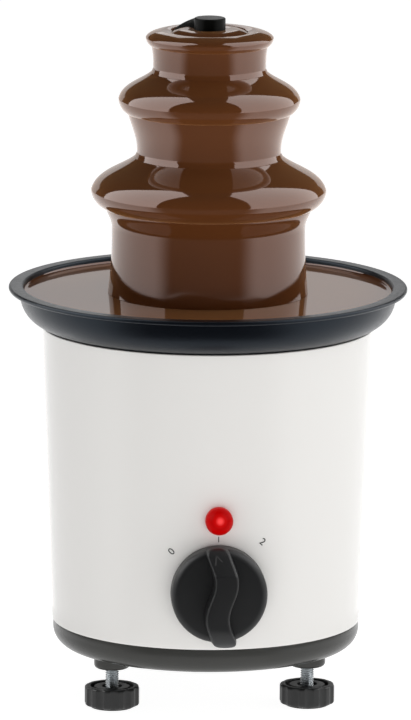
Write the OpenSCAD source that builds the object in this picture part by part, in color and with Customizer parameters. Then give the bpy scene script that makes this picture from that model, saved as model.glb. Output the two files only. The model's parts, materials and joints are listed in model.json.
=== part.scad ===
// Three-tier tabletop chocolate fountain, millimetres, +Z up.
// The origin lies on the tower's axis, on the surface that the feet stand on; the knob faces -Y.

/* [Feet] */
// Distance from the casing's lower edge in to the middle of a foot
foot_inset = 18.5; // [17:0.5:23]
// Diameter of a fluted levelling foot
foot_d = 24.5; // [20:0.5:28]
// Height of a fluted levelling foot
foot_h = 8.8; // [7:0.1:14]
// Number of flutes round a foot
foot_flutes = 12; // [8:1:20]
// Depth of a flute
flute_depth = 0.8; // [0.4:0.1:1.4]
// Diameter of the swivel pad under a foot
pad_d = 19.5; // [14:0.5:19.5]
// Height of the pad below the foot
pad_proud = 1; // [0.6:0.1:3]
// Height of the pad inside the foot
pad_seat = 1.6; // [1:0.1:3]
// Diameter of the levelling screw's rod
rod_d = 6; // [4:0.5:6.5]
// Length of rod that shows between foot and boss
rod_show = 8; // [4:0.1:12]
// Length of rod that stands up inside the base
rod_reach = 15.6; // [12:0.2:20]

/* [Base] */
// Diameter of a foot boss under the base
boss_d = 16.2; // [12:0.2:18]
// Height of a foot boss under the base
boss_h = 5.6; // [3:0.2:10]
// Height of a foot boss inside the base
boss_inner_h = 7; // [5:0.5:12]
// Height of the black base ring
base_h = 11.8; // [10:0.2:20]
// Radius of the base ring's lower corner
base_corner = 8.4; // [5:0.2:9]
// Thickness of the base's floor and wall
base_wall = 2.4; // [1.6:0.1:3]
// Height of the spigot that locates the casing
spigot_h = 4.6; // [2:0.2:8]
// Number of cooling slots in the base's floor
vent_count = 12; // [6:1:16]
// Width of a cooling slot
vent_w = 3; // [2:0.2:4]
// Length of a cooling slot
vent_l = 16; // [8:1:20]
// Distance from the axis to a slot's inner end
vent_r = 16; // [12:1:20]

/* [Casing] */
// Distance from the bowl's wall in to the casing's upper edge
casing_inset = 9.8; // [8.5:0.1:11.5]
// Amount by which the casing narrows towards its lower edge
casing_taper = 5.2; // [2:0.1:8]
// Height of the white casing
casing_h = 133.6; // [120:0.2:160]
// Wall of the white casing
casing_wall = 1.8; // [1.2:0.1:2.4]
// Height of the seal ring under the bowl
seal_h = 4; // [2:0.2:6]

/* [Bowl] */
// Outer radius of the bowl's rolled rim
rim_r = 89; // [87:0.5:94]
// Thickness of the rolled rim
rim_t = 2; // [1.6:0.1:3.6]
// Outer radius of the bowl's wall
bowl_r = 84; // [82:0.5:86]
// Height of the rim over the casing's upper edge
bowl_rise = 17.7; // [16.5:0.1:28]
// Outer radius of the curve under the bowl's wall
bowl_curve = 14; // [10:0.5:15]
// Thickness of the bowl's metal
bowl_wall = 1.6; // [1.2:0.1:2]
// Distance from the casing's upper edge in to the sump's wall
sump_inset = 8.2; // [7:0.1:11]
// Depth of the sump below the casing's upper edge
sump_depth = 18.8; // [14:0.2:22]
// Bevel at the foot of the sump's wall
sump_bevel = 5; // [3:0.5:7]
// Outer radius of the hub round the drive shaft
hub_r = 8; // [7:0.5:9]
// Height of the hub above the bowl's floor
hub_rise = 4.4; // [3:0.2:6]
// Depth of the hub below the bowl
hub_drop = 10; // [8:0.5:12]
// Level of the chocolate below the rim's top
pool_drop = 3; // [2:0.5:9]

/* [Tower] */
// Outer radius of the tower's tube
tube_r = 19.6; // [19:0.2:21]
// Wall of the tower's tube
tube_wall = 1.6; // [1.2:0.1:2]
// Outer radius of the flange that the tower stands on
flange_r = 30; // [27:0.5:34]
// Thickness of the flange
flange_t = 2.4; // [1.6:0.2:3]
// Height of the inlets at the tube's foot
inlet_h = 12; // [8:0.5:16]
// Width of an inlet
inlet_w = 14; // [8:0.5:18]
// Diameter of the pegs that locate the flange
peg_d = 4; // [3:0.2:5]
// Distance of the pegs from the axis
peg_ring_r = 25; // [24.5:0.1:26]
// Radius of the lower tier's lip
lower_r = 50.9; // [47:0.5:56]
// Height of the lower tier's lip, as a share of the way from the pool to the top cup's lip
lower_share = 0.403; // [0.34:0.001:0.46]
// Rise of the lower tier from its lip to its crown
lower_rise = 15.1; // [12:0.1:22]
// Radius of the upper tier's lip
upper_r = 38.9; // [36:0.5:43]
// Height of the upper tier's lip, as a share of the way from the pool to the top cup's lip
upper_share = 0.76; // [0.7:0.01:0.82]
// Rise of the upper tier from its lip to its crown
upper_rise = 12.2; // [10:0.1:18]
// Radius of the top cup's lip
cup_r = 26.8; // [25:0.2:30]
// Height of the top cup's lip
cup_z = 298.6; // [296:0.2:304]
// Rise of the top cup from its lip to the tube's top
cup_rise = 1.2; // [1:0.1:4]
// Thickness of the tiers' metal
tier_wall = 1.2; // [0.8:0.1:1.6]
// Height of a tier's collar round the tube
collar_h = 11; // [8:0.5:13]
// Thickness of a tier's collar
collar_wall = 1.5; // [1:0.1:2]

/* [Chocolate] */
// Thickness of the flowing chocolate
film = 1.6; // [1:0.1:2.2]
// Drop from the lower tier's lip to the edge where the chocolate lets go
lower_drop = 7.2; // [4:0.2:9]
// Outer radius of the curtain at the lower tier's edge
lower_edge_r = 47.2; // [44:0.2:49]
// Height of the lower curtain's waist, as a share of the way from the pool to the curtain's edge
lower_waist_share = 0.4; // [0.3:0.01:0.5]
// Outer radius of the lower curtain's waist
lower_waist_r = 42.6; // [40:0.2:45]
// Outer radius of the lower curtain's foot in the pool
lower_foot_r = 45.2; // [44:0.2:50]
// Drop from the upper tier's lip to the edge where the chocolate lets go
upper_drop = 6.2; // [4:0.2:8]
// Outer radius of the curtain at the upper tier's edge
upper_edge_r = 36.3; // [35:0.1:38]
// Outer radius of the upper curtain's waist
upper_waist_r = 32.2; // [30:0.2:34.4]
// Drop from the top cup's lip to the edge where the chocolate lets go
cup_drop = 3.4; // [2.8:0.1:5]
// Outer radius of the curtain at the top cup's edge
cup_edge_r = 25.9; // [25:0.1:26.5]
// Outer radius of the top curtain's waist
cup_waist_r = 25.2; // [24.4:0.1:25.6]

/* [Auger] */
// Radius of the auger's core
core_r = 7; // [6:0.1:8]
// Outer radius of the auger's flight
flight_r = 16.8; // [15:0.1:17.1]
// Thickness of the flight at its outer edge
flight_tip_t = 1.8; // [1.2:0.1:3]
// Rise of the flight in one turn
flight_pitch = 28; // [20:1:36]
// Thickness of the flight at the core
flight_t = 3; // [2:0.1:4]
// Height of the core's top above the tube's top
core_proud = 7.6; // [5:0.1:12]
// Depth of the flight's upper end below the core's top
flight_sink = 1.5; // [0.6:0.1:4]
// Direction of the flight's upper end, seen from above
flight_end_a = 105; // [0:5:355]
// Diameter of the drive shaft
shaft_d = 6; // [5:0.1:7]
// Length of the drive shaft inside the auger's core
shaft_reach = 30; // [20:1:40]
// Diameter of the cross pin that drives the auger
pin_d = 2.4; // [2:0.1:3]

/* [Gear motor] */
// Radius of the motor's can
can_r = 25; // [24.5:0.5:28]
// Thickness of the can's sheet
can_wall = 1; // [0.8:0.1:1.4]
// Depth of the motor below its bracket
can_h = 27.5; // [27:0.5:32]
// Distance from the rotor's axis to the drive shaft's axis
rotor_off = 10; // [9:0.5:11]
// Radius of the rotor's magnet
magnet_r = 9.5; // [8:0.5:10]
// Module of the first pair of gears
module_1 = 0.4; // [0.38:0.01:0.42]
// Module of the second pair of gears
module_2 = 0.45; // [0.44:0.01:0.46]
// Teeth on each pinion
pinion_teeth = 16; // [14:1:18]
// Teeth on each wheel
wheel_teeth = 48; // [45:1:50]
// Thickness of a gear wheel
gear_t = 3; // [2:0.2:3.4]
// Thickness of the motor bracket
bracket_t = 1.6; // [1.2:0.1:2.4]
// Length of the spacers between bracket and bowl
spacer_up = 22; // [20:1:26]

/* [Heater] */
// Radius of the heating element's ring
heater_r = 41; // [40:0.5:42]
// Radius of the heating element's tube
heater_tube_r = 3.4; // [2.5:0.1:3.6]
// Thickness of the heater's clamp plate
clamp_t = 1.2; // [0.8:0.1:1.6]
// Diameter of the thermostat
thermostat_d = 14; // [12:0.5:16]
// Height of the thermostat
thermostat_h = 8; // [6:0.5:10]
// Diameter of the thermal fuse
fuse_d = 4; // [3:0.2:5]

/* [Controls] */
// Diameter of the control knob
knob_d = 42.5; // [40:0.5:46]
// Thickness of the knob's disc
knob_t = 9.6; // [6:0.2:12]
// Height of the grip over the knob's disc
grip_h = 8.4; // [7:0.2:12]
// Width of the grip
grip_w = 11.8; // [8:0.2:13]
// Length by which the grip's lower end stands out past the disc
grip_tail = 1.8; // [0.4:0.2:2.4]
// Sideways swing of the grip's curve
grip_swing = 2; // [0:0.1:3]
// Height of the knob's axis above the casing's lower edge
knob_z = 26.8; // [25:0.2:34]
// Diameter of the switch's shaft
spindle_d = 6; // [5:0.1:7]
// Diameter of the switch's threaded neck
neck_d = 10; // [9:0.2:12]
// Width and height of the switch's body
switch_w = 28; // [22:0.5:32]
// Depth of the switch's body
switch_l = 20; // [14:0.5:26]
// Diameter of the lamp's lens
lens_d = 12.2; // [10:0.1:15]
// Diameter of the lamp's neck
lamp_neck_d = 9; // [7:0.2:9.4]
// Height of the lamp's axis above the knob's axis
lamp_rise = 32.4; // [30:0.2:40]
// Height of the cord gland above the casing's lower edge
gland_z = 18; // [14:0.5:30]
// Diameter of the gland's bore
gland_bore = 7; // [5:0.5:8]

/* [Fasteners] */
// Distance of the three tie bolts from the axis
bolt_ring_r = 52; // [51:0.5:53]
// Diameter of the tie bolts
bolt_d = 4; // [3:0.5:4.5]
// Outer diameter of the tie bolts' spacers
spacer_d = 8; // [7:0.2:9]

/* [Fits] */
// Gap round a shaft that runs in a bore
run_gap = 0.05; // [0.02:0.01:0.1]
// Gap between pieces that are put together
fit_gap = 0.1; // [0.05:0.01:0.2]
// Gap beside a piece that lifts off or turns freely
free_gap = 0.4; // [0.3:0.05:0.6]

/* [Hidden] */
$fn = 64;

// Heights, from the floor up
foot_z = pad_proud;
foot_top_z = foot_z + foot_h;
boss_z = foot_top_z + rod_show;
base_z = boss_z + boss_h;
floor_z = base_z + base_wall;
insert_top_z = floor_z + boss_inner_h;
casing_z = base_z + base_h;
shelf_z = casing_z + casing_h;
rim_z = shelf_z + bowl_rise;
curve_z = shelf_z + bowl_curve;
sump_z = shelf_z - sump_depth;
bowl_floor_z = sump_z + bowl_wall;
hub_top_z = bowl_floor_z + hub_rise;
hub_z = sump_z - hub_drop;
pool_z = rim_z - pool_drop;
lower_z = pool_z + lower_share * (cup_z - pool_z);
upper_z = pool_z + upper_share * (cup_z - pool_z);

// Places round the axis
casing_r1 = bowl_r - casing_inset;
casing_r0 = casing_r1 - casing_taper;
sump_r = casing_r1 - sump_inset;
foot_ring_r = casing_r0 - foot_inset;
foot_angles = [-150, -30, 90];
bolt_angles = [0, 120, 240];
peg_angles = [30, 150, 270];
clamp_angles = [60, 180, 300];
inlet_angles = [0, 90, 180, 270];
bolt_r = bolt_d / 2;
rod_r = rod_d / 2;
shaft_r = shaft_d / 2;
insert_d = rod_d + 2;
head_d = bolt_d * 1.8;
head_h = bolt_d;
head_room = 0.5;
bolt_boss_d = head_d + 4;
bolt_boss_h = 8;
thread_boss_h = 6;
thread_boss_d = bolt_d + 5;
insert_l = insert_top_z - boss_z - 1;
screw_r = 1.5;
screw_head_r = 2.6;
screw_head_h = 1.8;
clamp_boss_d = 6;
clamp_grip = 4;
// Length by which two solids of one piece run into each other
overlap = 0.5;

// Drive line, from the bowl's hub down
coupling_top_z = hub_z - 2;
coupling_h = 12;
coupling_r = shaft_r + 3;
joint_z = coupling_top_z - coupling_h / 2;
bracket_z = sump_z - thread_boss_h - spacer_up - bracket_t;
cover_t = 1.4;
cover_z = bracket_z - cover_t;
can_z = bracket_z - can_h;
gear_gap = 0.6;
gear_2_z = cover_z - gear_gap - gear_t - 1;
gear_1_z = gear_2_z - gear_gap - gear_t;
plate_t = 1.4;
plate_z = gear_1_z - gear_gap - plate_t;
rotor_z = can_z + can_wall + gear_gap;
magnet_h = plate_z - gear_gap - rotor_z;
gear_play = 0.06;
tooth_thin = 0.05;
pressure_a = 20;
center_1 = module_1 * (pinion_teeth + wheel_teeth) / 2 + gear_play;
center_2 = module_2 * (pinion_teeth + wheel_teeth) / 2 + gear_play;
// The idler stands where its two center distances meet
idler_y = (center_2 * center_2 - center_1 * center_1 + rotor_off * rotor_off) / (2 * rotor_off);
idler_x = sqrt(center_2 * center_2 - idler_y * idler_y);
idler_to_output_a = atan2(-idler_y, -idler_x);
idler_to_rotor_a = atan2(rotor_off - idler_y, -idler_x);
tooth_a = 360 / pinion_teeth;
pin_r = 0.75;
journal_r = 1.5;
motor_screw_a = [-20, 110, 200];
screw_inset = 4.5;
motor_screw_r = can_r - screw_inset;

// Tower and chocolate
tube_in_r = tube_r - tube_wall;
tube_z = bowl_floor_z + fit_gap;
tube_top_z = cup_z + cup_rise;
collar_r = tube_r + fit_gap + collar_wall;
core_z = hub_top_z + 1;
core_top_z = tube_top_z + core_proud;
flight_z = core_z + 1;
pin_z = core_z + 3;
lower_edge_z = lower_z - lower_drop;
upper_edge_z = upper_z - upper_drop;
cup_edge_z = cup_z - cup_drop;
drip = 1.5;
foot_gap = 0.3;
lower_lip = [lower_r + film, lower_z];
upper_lip = [upper_r + film, upper_z];
cup_lip = [cup_r + film, cup_z];
lower_neck = [upper_waist_r + 0.7, lower_z + lower_rise];
upper_neck = [cup_waist_r + 0.4, upper_z + upper_rise];
cup_neck = [collar_r, tube_top_z + film];
// Bend of a dome at its neck and at its lip, as shares of its width and its height
tier_bend = [[0.35, 0.4], [0.12, 0.52]];
cup_bend = [[0.6, 0.1], [0.02, 0.69]];

// Front controls
taper = (casing_r1 - casing_r0) / casing_h;
knob_axis_z = casing_z + knob_z;
lamp_axis_z = knob_axis_z + lamp_rise;
gland_axis_z = casing_z + gland_z;
knob_back_y = -(casing_r0 + taper * (knob_z + knob_d / 2) + 0.7);
knob_front_y = knob_back_y - knob_t;
grip_front_y = knob_front_y - grip_h;
grip_off = 0.6;
grip_wave = 32;
grip_slope_a = 32;
spindle_cover = 4;
nut_af = neck_d + 4;
nut_t = 2.2;
nut_y = -(casing_r0 + taper * (knob_z + nut_af / 2) + 0.15);
knob_recess_d = nut_af * 1.155 + 4;
switch_face_y = -sqrt(pow(wall_r(knob_z - switch_w / 2), 2) - pow(switch_w / 2, 2)) + 0.5;
shoulder_y = -wall_r(knob_z - 7) + 0.35;
lens_y = -(casing_r0 + taper * (knob_z + lamp_rise + lens_d / 2) + 0.1);
lens_flange = 3.4;
lens_dome = 5;
clip_d = lens_d + 3;
clip_y = -sqrt(pow(wall_r(knob_z + lamp_rise - clip_d / 2), 2) - pow(clip_d / 2, 2)) + 0.1;
clip_t = 1;
holder_y = clip_y + clip_t + 2;
holder_l = 15;
gland_d = gland_bore + 5;
gland_flange_d = gland_d + 4;
gland_y = casing_r0 + taper * (gland_z + gland_flange_d / 2) + 0.1;
gland_nut_af = gland_d + 4;
gland_nut_y = sqrt(pow(wall_r(gland_z - gland_nut_af * 0.58), 2) - pow(gland_nut_af * 0.58, 2)) - 0.1;
block_w = 30;
block_l = 15;
block_h = 12;
block_y = 22;
lead_d = 2.2;

// Radius of the casing's inner wall at a height over its lower edge
function wall_r(h) = casing_r0 + taper * h - casing_wall;

// Points of an arc round c, from angle a0 to a1
function arc(c, r, a0, a1, n = 8) =
  [for (i = [0 : n]) c + r * [cos(a0 + (a1 - a0) * i / n), sin(a0 + (a1 - a0) * i / n)]];

// Points of a cubic curve
function curve(a, b, c, d, n = 8) =
  [for (i = [0 : n]) let (t = i / n, u = 1 - t)
    u * u * u * a + 3 * u * u * t * b + 3 * u * t * t * c + t * t * t * d];

// The same points from the other end
function backward(v) = [for (i = [len(v) - 1 : -1 : 0]) v[i]];

// All points of a list but its first
function rest(v) = [for (i = [1 : len(v) - 1]) v[i]];

// A tier's dome from neck to lip, d below the chocolate's surface
function dome(neck, lip, bend, d) =
  let (a = [neck.x, neck.y - d], b = [lip.x - d, lip.y], s = b - a)
  curve(a, a + [bend[0].x * s.x, bend[0].y * s.y], b - [bend[1].x * s.x, bend[1].y * s.y], b, 12);

// The chocolate's turn under a lip, down to the edge where it lets go
function underside(lip, edge) =
  let (s = edge - lip)
  curve(lip, lip + [0, 0.55 * s.y], edge - [0.35 * s.x, 0], edge, 5);

// A falling curtain from its edge to its waist and on to its foot
function curtain(edge, waist, foot) = concat(
  curve(edge, edge + [-0.25, 0.3] * (edge.y - waist.y) / 3 - [0, (edge.y - waist.y) * 0.45],
    waist + [0, (edge.y - waist.y) * 0.4], waist, 6),
  rest(curve(waist, waist + [0, 0.45 * (foot.y - waist.y)],
    foot - [0.5, 0.2] * (foot.x - waist.x), foot, 5)));

// Half a tooth's angle at radius r on an involute gear, thinned for play
function tooth_half(m, z, r) =
  let (rp = m * z / 2, rb = rp * cos(pressure_a), s = 90 / z - tooth_thin / rp * 180 / PI, c = max(r, rb))
  s + inv(pressure_a) - inv(acos(rb / c));

// Involute of an angle, in degrees
function inv(a) = tan(a) * 180 / PI - a;

// Outline of an involute gear with a tooth centred on angle a
function gear_points(m, z, a) =
  let (rp = m * z / 2, tip = rp + 0.9 * m, root = rp - 1.25 * m, rb = rp * cos(pressure_a),
    low = max(root, rb), steps = [low, rp, tip])
  [for (i = [0 : z - 1]) let (c = a + i * 360 / z) each concat(
    [root * [cos(c - tooth_half(m, z, low)), sin(c - tooth_half(m, z, low))]],
    [for (r = steps) r * [cos(c - tooth_half(m, z, r)), sin(c - tooth_half(m, z, r))]],
    [for (r = backward(steps)) r * [cos(c + tooth_half(m, z, r)), sin(c + tooth_half(m, z, r))]],
    [root * [cos(c + tooth_half(m, z, low)), sin(c + tooth_half(m, z, low))]])];

// Direction of a path at point i
function heading(p, i) =
  let (d = p[min(i + 1, len(p) - 1)] - p[max(i - 1, 0)]) d / norm(d);

// Tube of radius r swept along the points p
module swept(p, r, sides = 8) {
  n = len(p);
  points = [for (i = [0 : n - 1]) let (
      t = heading(p, i),
      side = cross(t, abs(t.x) > 0.9 ? [0, 1, 0] : [1, 0, 0]),
      u = side / norm(side),
      v = cross(t, u))
    for (k = [0 : sides - 1]) p[i] + r * (cos(360 * k / sides) * u + sin(360 * k / sides) * v)];
  walls = [for (i = [0 : n - 2], k = [0 : sides - 1]) let (
      a = i * sides + k, b = i * sides + (k + 1) % sides)
    each [[a, a + sides, b], [b, a + sides, b + sides]]];
  ends = [for (k = [1 : sides - 2]) each [[0, k, k + 1],
    [(n - 1) * sides, (n - 1) * sides + k + 1, (n - 1) * sides + k]]];
  polyhedron(points, concat(walls, ends));
}

// A route rounded off between its corner points
function eased(p) = [for (i = [0 : len(p) - 2]) each
  [p[i] * 0.8 + p[i + 1] * 0.2, p[i] * 0.5 + p[i + 1] * 0.5, p[i] * 0.2 + p[i + 1] * 0.8]];
function route(p) = concat([p[0]], eased(p), [p[len(p) - 1]]);

// Places its children on a circle round the axis
module on_ring(r, angles) {
  for (a = angles) rotate([0, 0, a]) translate([r, 0, 0]) children();
}

// Round bar along Y from y0 to y1
module bar_y(y0, y1, r, z) {
  translate([0, y1, z]) rotate([90, 0, 0]) cylinder(h = y1 - y0, r = r);
}

// Hexagonal bar along Y from y0 to y1
module hex_y(y0, y1, af, z) {
  translate([0, y1, z]) rotate([90, 0, 0]) cylinder(h = y1 - y0, r = af / sqrt(3), $fn = 6);
}

// Upright tube from z0 to z1
module pipe(r, bore_r, z0, z1) {
  translate([0, 0, z0]) difference() {
    cylinder(h = z1 - z0, r = r);
    translate([0, 0, -1]) cylinder(h = z1 - z0 + 2, r = bore_r);
  }
}

// Base

module base_pan() {
  bottom_r = casing_r0 - 0.4;
  corner = [bottom_r - base_corner, base_z + base_corner];
  inner_r = casing_r0 - casing_wall - fit_gap - base_wall;
  shell = concat(
    [[0, base_z]],
    arc(corner, base_corner, -90, 0),
    [[bottom_r, casing_z], [inner_r + base_wall, casing_z], [inner_r + base_wall, casing_z + spigot_h],
      [inner_r, casing_z + spigot_h], [inner_r, floor_z + base_corner - base_wall]],
    rest(arc([inner_r - base_corner + base_wall, floor_z + base_corner - base_wall],
      base_corner - base_wall, 0, -90)),
    [[0, floor_z]]);
  color("#2b2c2c") difference() {
    union() {
      rotate_extrude() polygon(shell);
      on_ring(foot_ring_r, foot_angles) translate([0, 0, boss_z])
        cylinder(h = insert_top_z - boss_z, d = boss_d);
      on_ring(bolt_ring_r, bolt_angles) translate([0, 0, base_z])
        cylinder(h = base_wall + bolt_boss_h, d = bolt_boss_d);
    }
    on_ring(foot_ring_r, foot_angles) translate([0, 0, boss_z - 1])
      cylinder(h = insert_top_z - boss_z + 2, d = insert_d);
    on_ring(bolt_ring_r, bolt_angles) {
      translate([0, 0, base_z - 1]) cylinder(h = base_wall + bolt_boss_h + 2, r = bolt_r + fit_gap);
      translate([0, 0, base_z - 1]) cylinder(h = head_h + head_room + 1, r = head_d / 2 + free_gap);
    }
    for (i = [0 : vent_count - 1]) rotate([0, 0, (i + 0.5) * 360 / vent_count])
      translate([vent_r, -vent_w / 2, base_z - 1]) cube([vent_l, vent_w, base_wall + 2]);
  }
}

module foot_inserts() {
  insert_z = boss_z + 1;
  color("#b08d3c") on_ring(foot_ring_r, foot_angles)
    pipe(insert_d / 2, rod_r + run_gap, insert_z, insert_z + insert_l);
}

module foot_pad(k) {
  color("#3a3b3b") on_ring(foot_ring_r, [foot_angles[k]])
    cylinder(h = pad_proud + pad_seat, d = pad_d);
}

module foot_knob(k) {
  bevel = 1;
  groove_r1 = foot_d / 2 - 2.6;
  groove_r0 = groove_r1 - 1.7;
  hole_r = rod_r + 1.5;
  groove = 1.6;
  hub_sink = 0.3;
  profile = [[rod_r + run_gap, foot_z + pad_seat], [pad_d / 2 + free_gap, foot_z + pad_seat],
    [pad_d / 2 + free_gap, foot_z], [foot_d / 2 - bevel, foot_z], [foot_d / 2, foot_z + bevel],
    [foot_d / 2, foot_top_z - bevel], [foot_d / 2 - bevel, foot_top_z], [groove_r1, foot_top_z],
    [groove_r1, foot_top_z - groove], [groove_r0, foot_top_z - groove],
    [groove_r0, foot_top_z - hub_sink], [hole_r, foot_top_z - hub_sink],
    [hole_r, foot_top_z - groove], [rod_r + run_gap, foot_top_z - groove]];
  flute_r = 3;
  color("#333434") on_ring(foot_ring_r, [foot_angles[k]]) difference() {
    rotate_extrude() polygon(profile);
    for (i = [0 : foot_flutes - 1]) rotate([0, 0, i * 360 / foot_flutes])
      translate([foot_d / 2 + flute_r - flute_depth, 0, foot_z - 1]) cylinder(h = foot_h + 2, r = flute_r);
  }
}

module foot_rod(k) {
  rod_z = foot_z + pad_seat + 0.3;
  color("#b9bcbc") on_ring(foot_ring_r, [foot_angles[k]]) translate([0, 0, rod_z])
    cylinder(h = boss_z + rod_reach - rod_z, r = rod_r);
}

// Casing and bowl

module casing() {
  cut = casing_wall + 8;
  color("#e6e3de") difference() {
    translate([0, 0, casing_z]) cylinder(h = casing_h, r1 = casing_r0, r2 = casing_r1, $fn = 96);
    translate([0, 0, casing_z - 1])
      cylinder(h = casing_h + 2, r1 = wall_r(-1), r2 = wall_r(casing_h + 1), $fn = 96);
    bar_y(-casing_r1 - 1, -casing_r0 + cut, neck_d / 2 + fit_gap, knob_axis_z);
    bar_y(-casing_r1 - 1, -casing_r0 + cut, lamp_neck_d / 2 + fit_gap, lamp_axis_z);
    bar_y(casing_r0 - cut, casing_r1 + 1, gland_d / 2 + fit_gap, gland_axis_z);
  }
}

// Inner line of the bowl from the top of its wall to its floor, drawn in by d
function bowl_inside(d) = concat(
  arc([bowl_r - bowl_curve, curve_z], bowl_curve - bowl_wall - d, 0, -90),
  [[sump_r - bowl_wall - d, shelf_z + bowl_wall + d],
    [sump_r - bowl_wall - d, bowl_floor_z + sump_bevel],
    [sump_r - bowl_wall - sump_bevel, bowl_floor_z + d]]);

module bowl() {
  roll = rim_t / 2;
  inner_r = bowl_r - bowl_wall;
  profile = concat(
    [[bore_r(), hub_z], [hub_r, hub_z], [hub_r, sump_z], [sump_r - sump_bevel, sump_z],
      [sump_r, sump_z + sump_bevel], [sump_r, shelf_z]],
    arc([bowl_r - bowl_curve, curve_z], bowl_curve, -90, 0),
    [[bowl_r, rim_z - rim_t]],
    arc([rim_r - roll, rim_z - roll], roll, -90, 90),
    arc([inner_r + roll, rim_z - roll], roll, 90, 180),
    bowl_inside(0),
    [[hub_r, bowl_floor_z], [hub_r, hub_top_z], [bore_r(), hub_top_z]]);
  color("#39424c") difference() {
    union() {
      rotate_extrude($fn = 96) polygon(profile);
      on_ring(bolt_ring_r, bolt_angles) translate([0, 0, sump_z - thread_boss_h])
        cylinder(h = thread_boss_h + bowl_wall / 2, d = thread_boss_d);
      on_ring(heater_screw_r(), clamp_angles) translate([0, 0, clamp_z() + clamp_t])
        cylinder(h = sump_z - clamp_z() - clamp_t + bowl_wall / 2, d = clamp_boss_d);
      on_ring(peg_ring_r, peg_angles) translate([0, 0, sump_z + bowl_wall / 2])
        cylinder(h = bowl_wall / 2 + flange_t + 2, d = peg_d);
    }
    on_ring(bolt_ring_r, bolt_angles) translate([0, 0, sump_z - thread_boss_h - 1])
      cylinder(h = thread_boss_h + 0.5, r = bolt_r + run_gap);
    on_ring(heater_screw_r(), clamp_angles) translate([0, 0, clamp_z()])
      cylinder(h = sump_z - clamp_z() - 1, r = screw_r + run_gap);
  }
}

// Bore of the bowl's hub, which holds the bush and the seal
function bore_r() = shaft_r + 2;
// Circle of the clamp's screws, inside the heating element
function heater_screw_r() = heater_r - heater_tube_r - 4.4;
// Underside of the clamp plate
function clamp_z() = sump_z - 2 * heater_tube_r - 2 * fit_gap - clamp_t;

module bowl_seal() {
  outer_r = wall_r(casing_h - seal_h) - fit_gap;
  color("#55585a") pipe(outer_r, outer_r - 3, shelf_z - seal_h, shelf_z);
}

module tie_bolts() {
  head_z = base_z + head_room;
  color("#c2c4c4") on_ring(bolt_ring_r, bolt_angles) difference() {
    union() {
      translate([0, 0, head_z]) cylinder(h = head_h, d = head_d);
      translate([0, 0, head_z]) cylinder(h = sump_z - 1.5 - head_z, r = bolt_r);
    }
    translate([-head_d, -0.5, head_z - 1]) cube([2 * head_d, 1, 2]);
  }
}

module lower_spacers() {
  color("#a9adad") on_ring(bolt_ring_r, bolt_angles)
    pipe(spacer_d / 2, bolt_r + fit_gap, floor_z + bolt_boss_h, bracket_z);
}

module upper_spacers() {
  color("#a9adad") on_ring(bolt_ring_r, bolt_angles)
    pipe(spacer_d / 2, bolt_r + fit_gap, bracket_z + bracket_t, sump_z - thread_boss_h);
}

// Gear motor

module motor_bracket() {
  arm_w = spacer_d + 6;
  color("#b4b6b2") translate([0, 0, bracket_z]) linear_extrude(bracket_t) difference() {
    union() {
      translate([0, rotor_off]) circle(r = can_r);
      for (a = bolt_angles) rotate(a) {
        translate([0, -arm_w / 2]) square([bolt_ring_r, arm_w]);
        translate([bolt_ring_r, 0]) circle(d = arm_w);
      }
    }
    circle(r = coupling_r + 3);
    for (a = bolt_angles) rotate(a) translate([bolt_ring_r, 0]) circle(r = bolt_r + fit_gap);
    for (a = motor_screw_a) translate([0, rotor_off]) rotate(a) translate([motor_screw_r, 0])
      circle(r = screw_r + fit_gap);
  }
}

module motor_can() {
  color("#8f9496") translate([0, rotor_off, 0]) difference() {
    translate([0, 0, can_z]) cylinder(h = cover_z - can_z, r = can_r);
    translate([0, 0, can_z + can_wall]) cylinder(h = can_h, r = can_r - can_wall);
    translate([0, 0, can_z - 1]) cylinder(h = can_wall + 2, r = pin_r + fit_gap);
  }
}

module motor_cover() {
  color("#9aa0a2") translate([0, 0, cover_z]) linear_extrude(cover_t) difference() {
    translate([0, rotor_off]) circle(r = can_r);
    circle(r = shaft_r + run_gap);
    translate([idler_x, idler_y]) circle(r = pin_r + fit_gap);
    for (a = motor_screw_a) translate([0, rotor_off]) rotate(a) translate([motor_screw_r, 0])
      circle(r = screw_r + run_gap);
  }
}

module gear_plate() {
  color("#a8977a") translate([0, 0, plate_z]) linear_extrude(plate_t) difference() {
    translate([0, rotor_off]) circle(r = can_r - can_wall - fit_gap);
    translate([0, rotor_off]) circle(r = module_1 * pinion_teeth / 2 + 1.4);
    translate([idler_x, idler_y]) circle(r = pin_r + fit_gap);
    circle(r = journal_r + run_gap);
  }
}

module motor_coil() {
  color("#9c5a2c") translate([0, rotor_off, 0])
    pipe(can_r - can_wall - fit_gap, magnet_r + 1.2, can_z + can_wall, plate_z);
}

// The fixed pins that the rotor and the idler turn on
module gear_pins() {
  color("#d0d2d2") {
    translate([0, rotor_off, can_z]) cylinder(h = gear_2_z - gear_gap / 2 - can_z, r = pin_r);
    translate([idler_x, idler_y, plate_z]) cylinder(h = bracket_z - plate_z, r = pin_r);
  }
}

module motor_screws() {
  color("#c2c4c4") for (a = motor_screw_a) translate([0, rotor_off, 0]) rotate([0, 0, a])
    translate([motor_screw_r, 0, 0]) {
      translate([0, 0, bracket_z + bracket_t]) cylinder(h = screw_head_h, r = screw_head_r);
      translate([0, 0, cover_z]) cylinder(h = cover_t + bracket_t + overlap, r = screw_r);
    }
}

// A gear of the motor, with a tooth centred on angle a
module gear(m, z, a, t) {
  linear_extrude(t) polygon(gear_points(m, z, a));
}

module rotor() {
  color("#4a4440") translate([0, rotor_off, 0]) difference() {
    union() {
      translate([0, 0, rotor_z]) cylinder(h = magnet_h, r = magnet_r);
      translate([0, 0, rotor_z + magnet_h - overlap])
        gear(module_1, pinion_teeth, idler_to_rotor_a + 180 + tooth_a / 2,
          gear_1_z + gear_t - rotor_z - magnet_h + overlap);
    }
    translate([0, 0, rotor_z - 1]) cylinder(h = can_h, r = pin_r + run_gap);
  }
}

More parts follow.
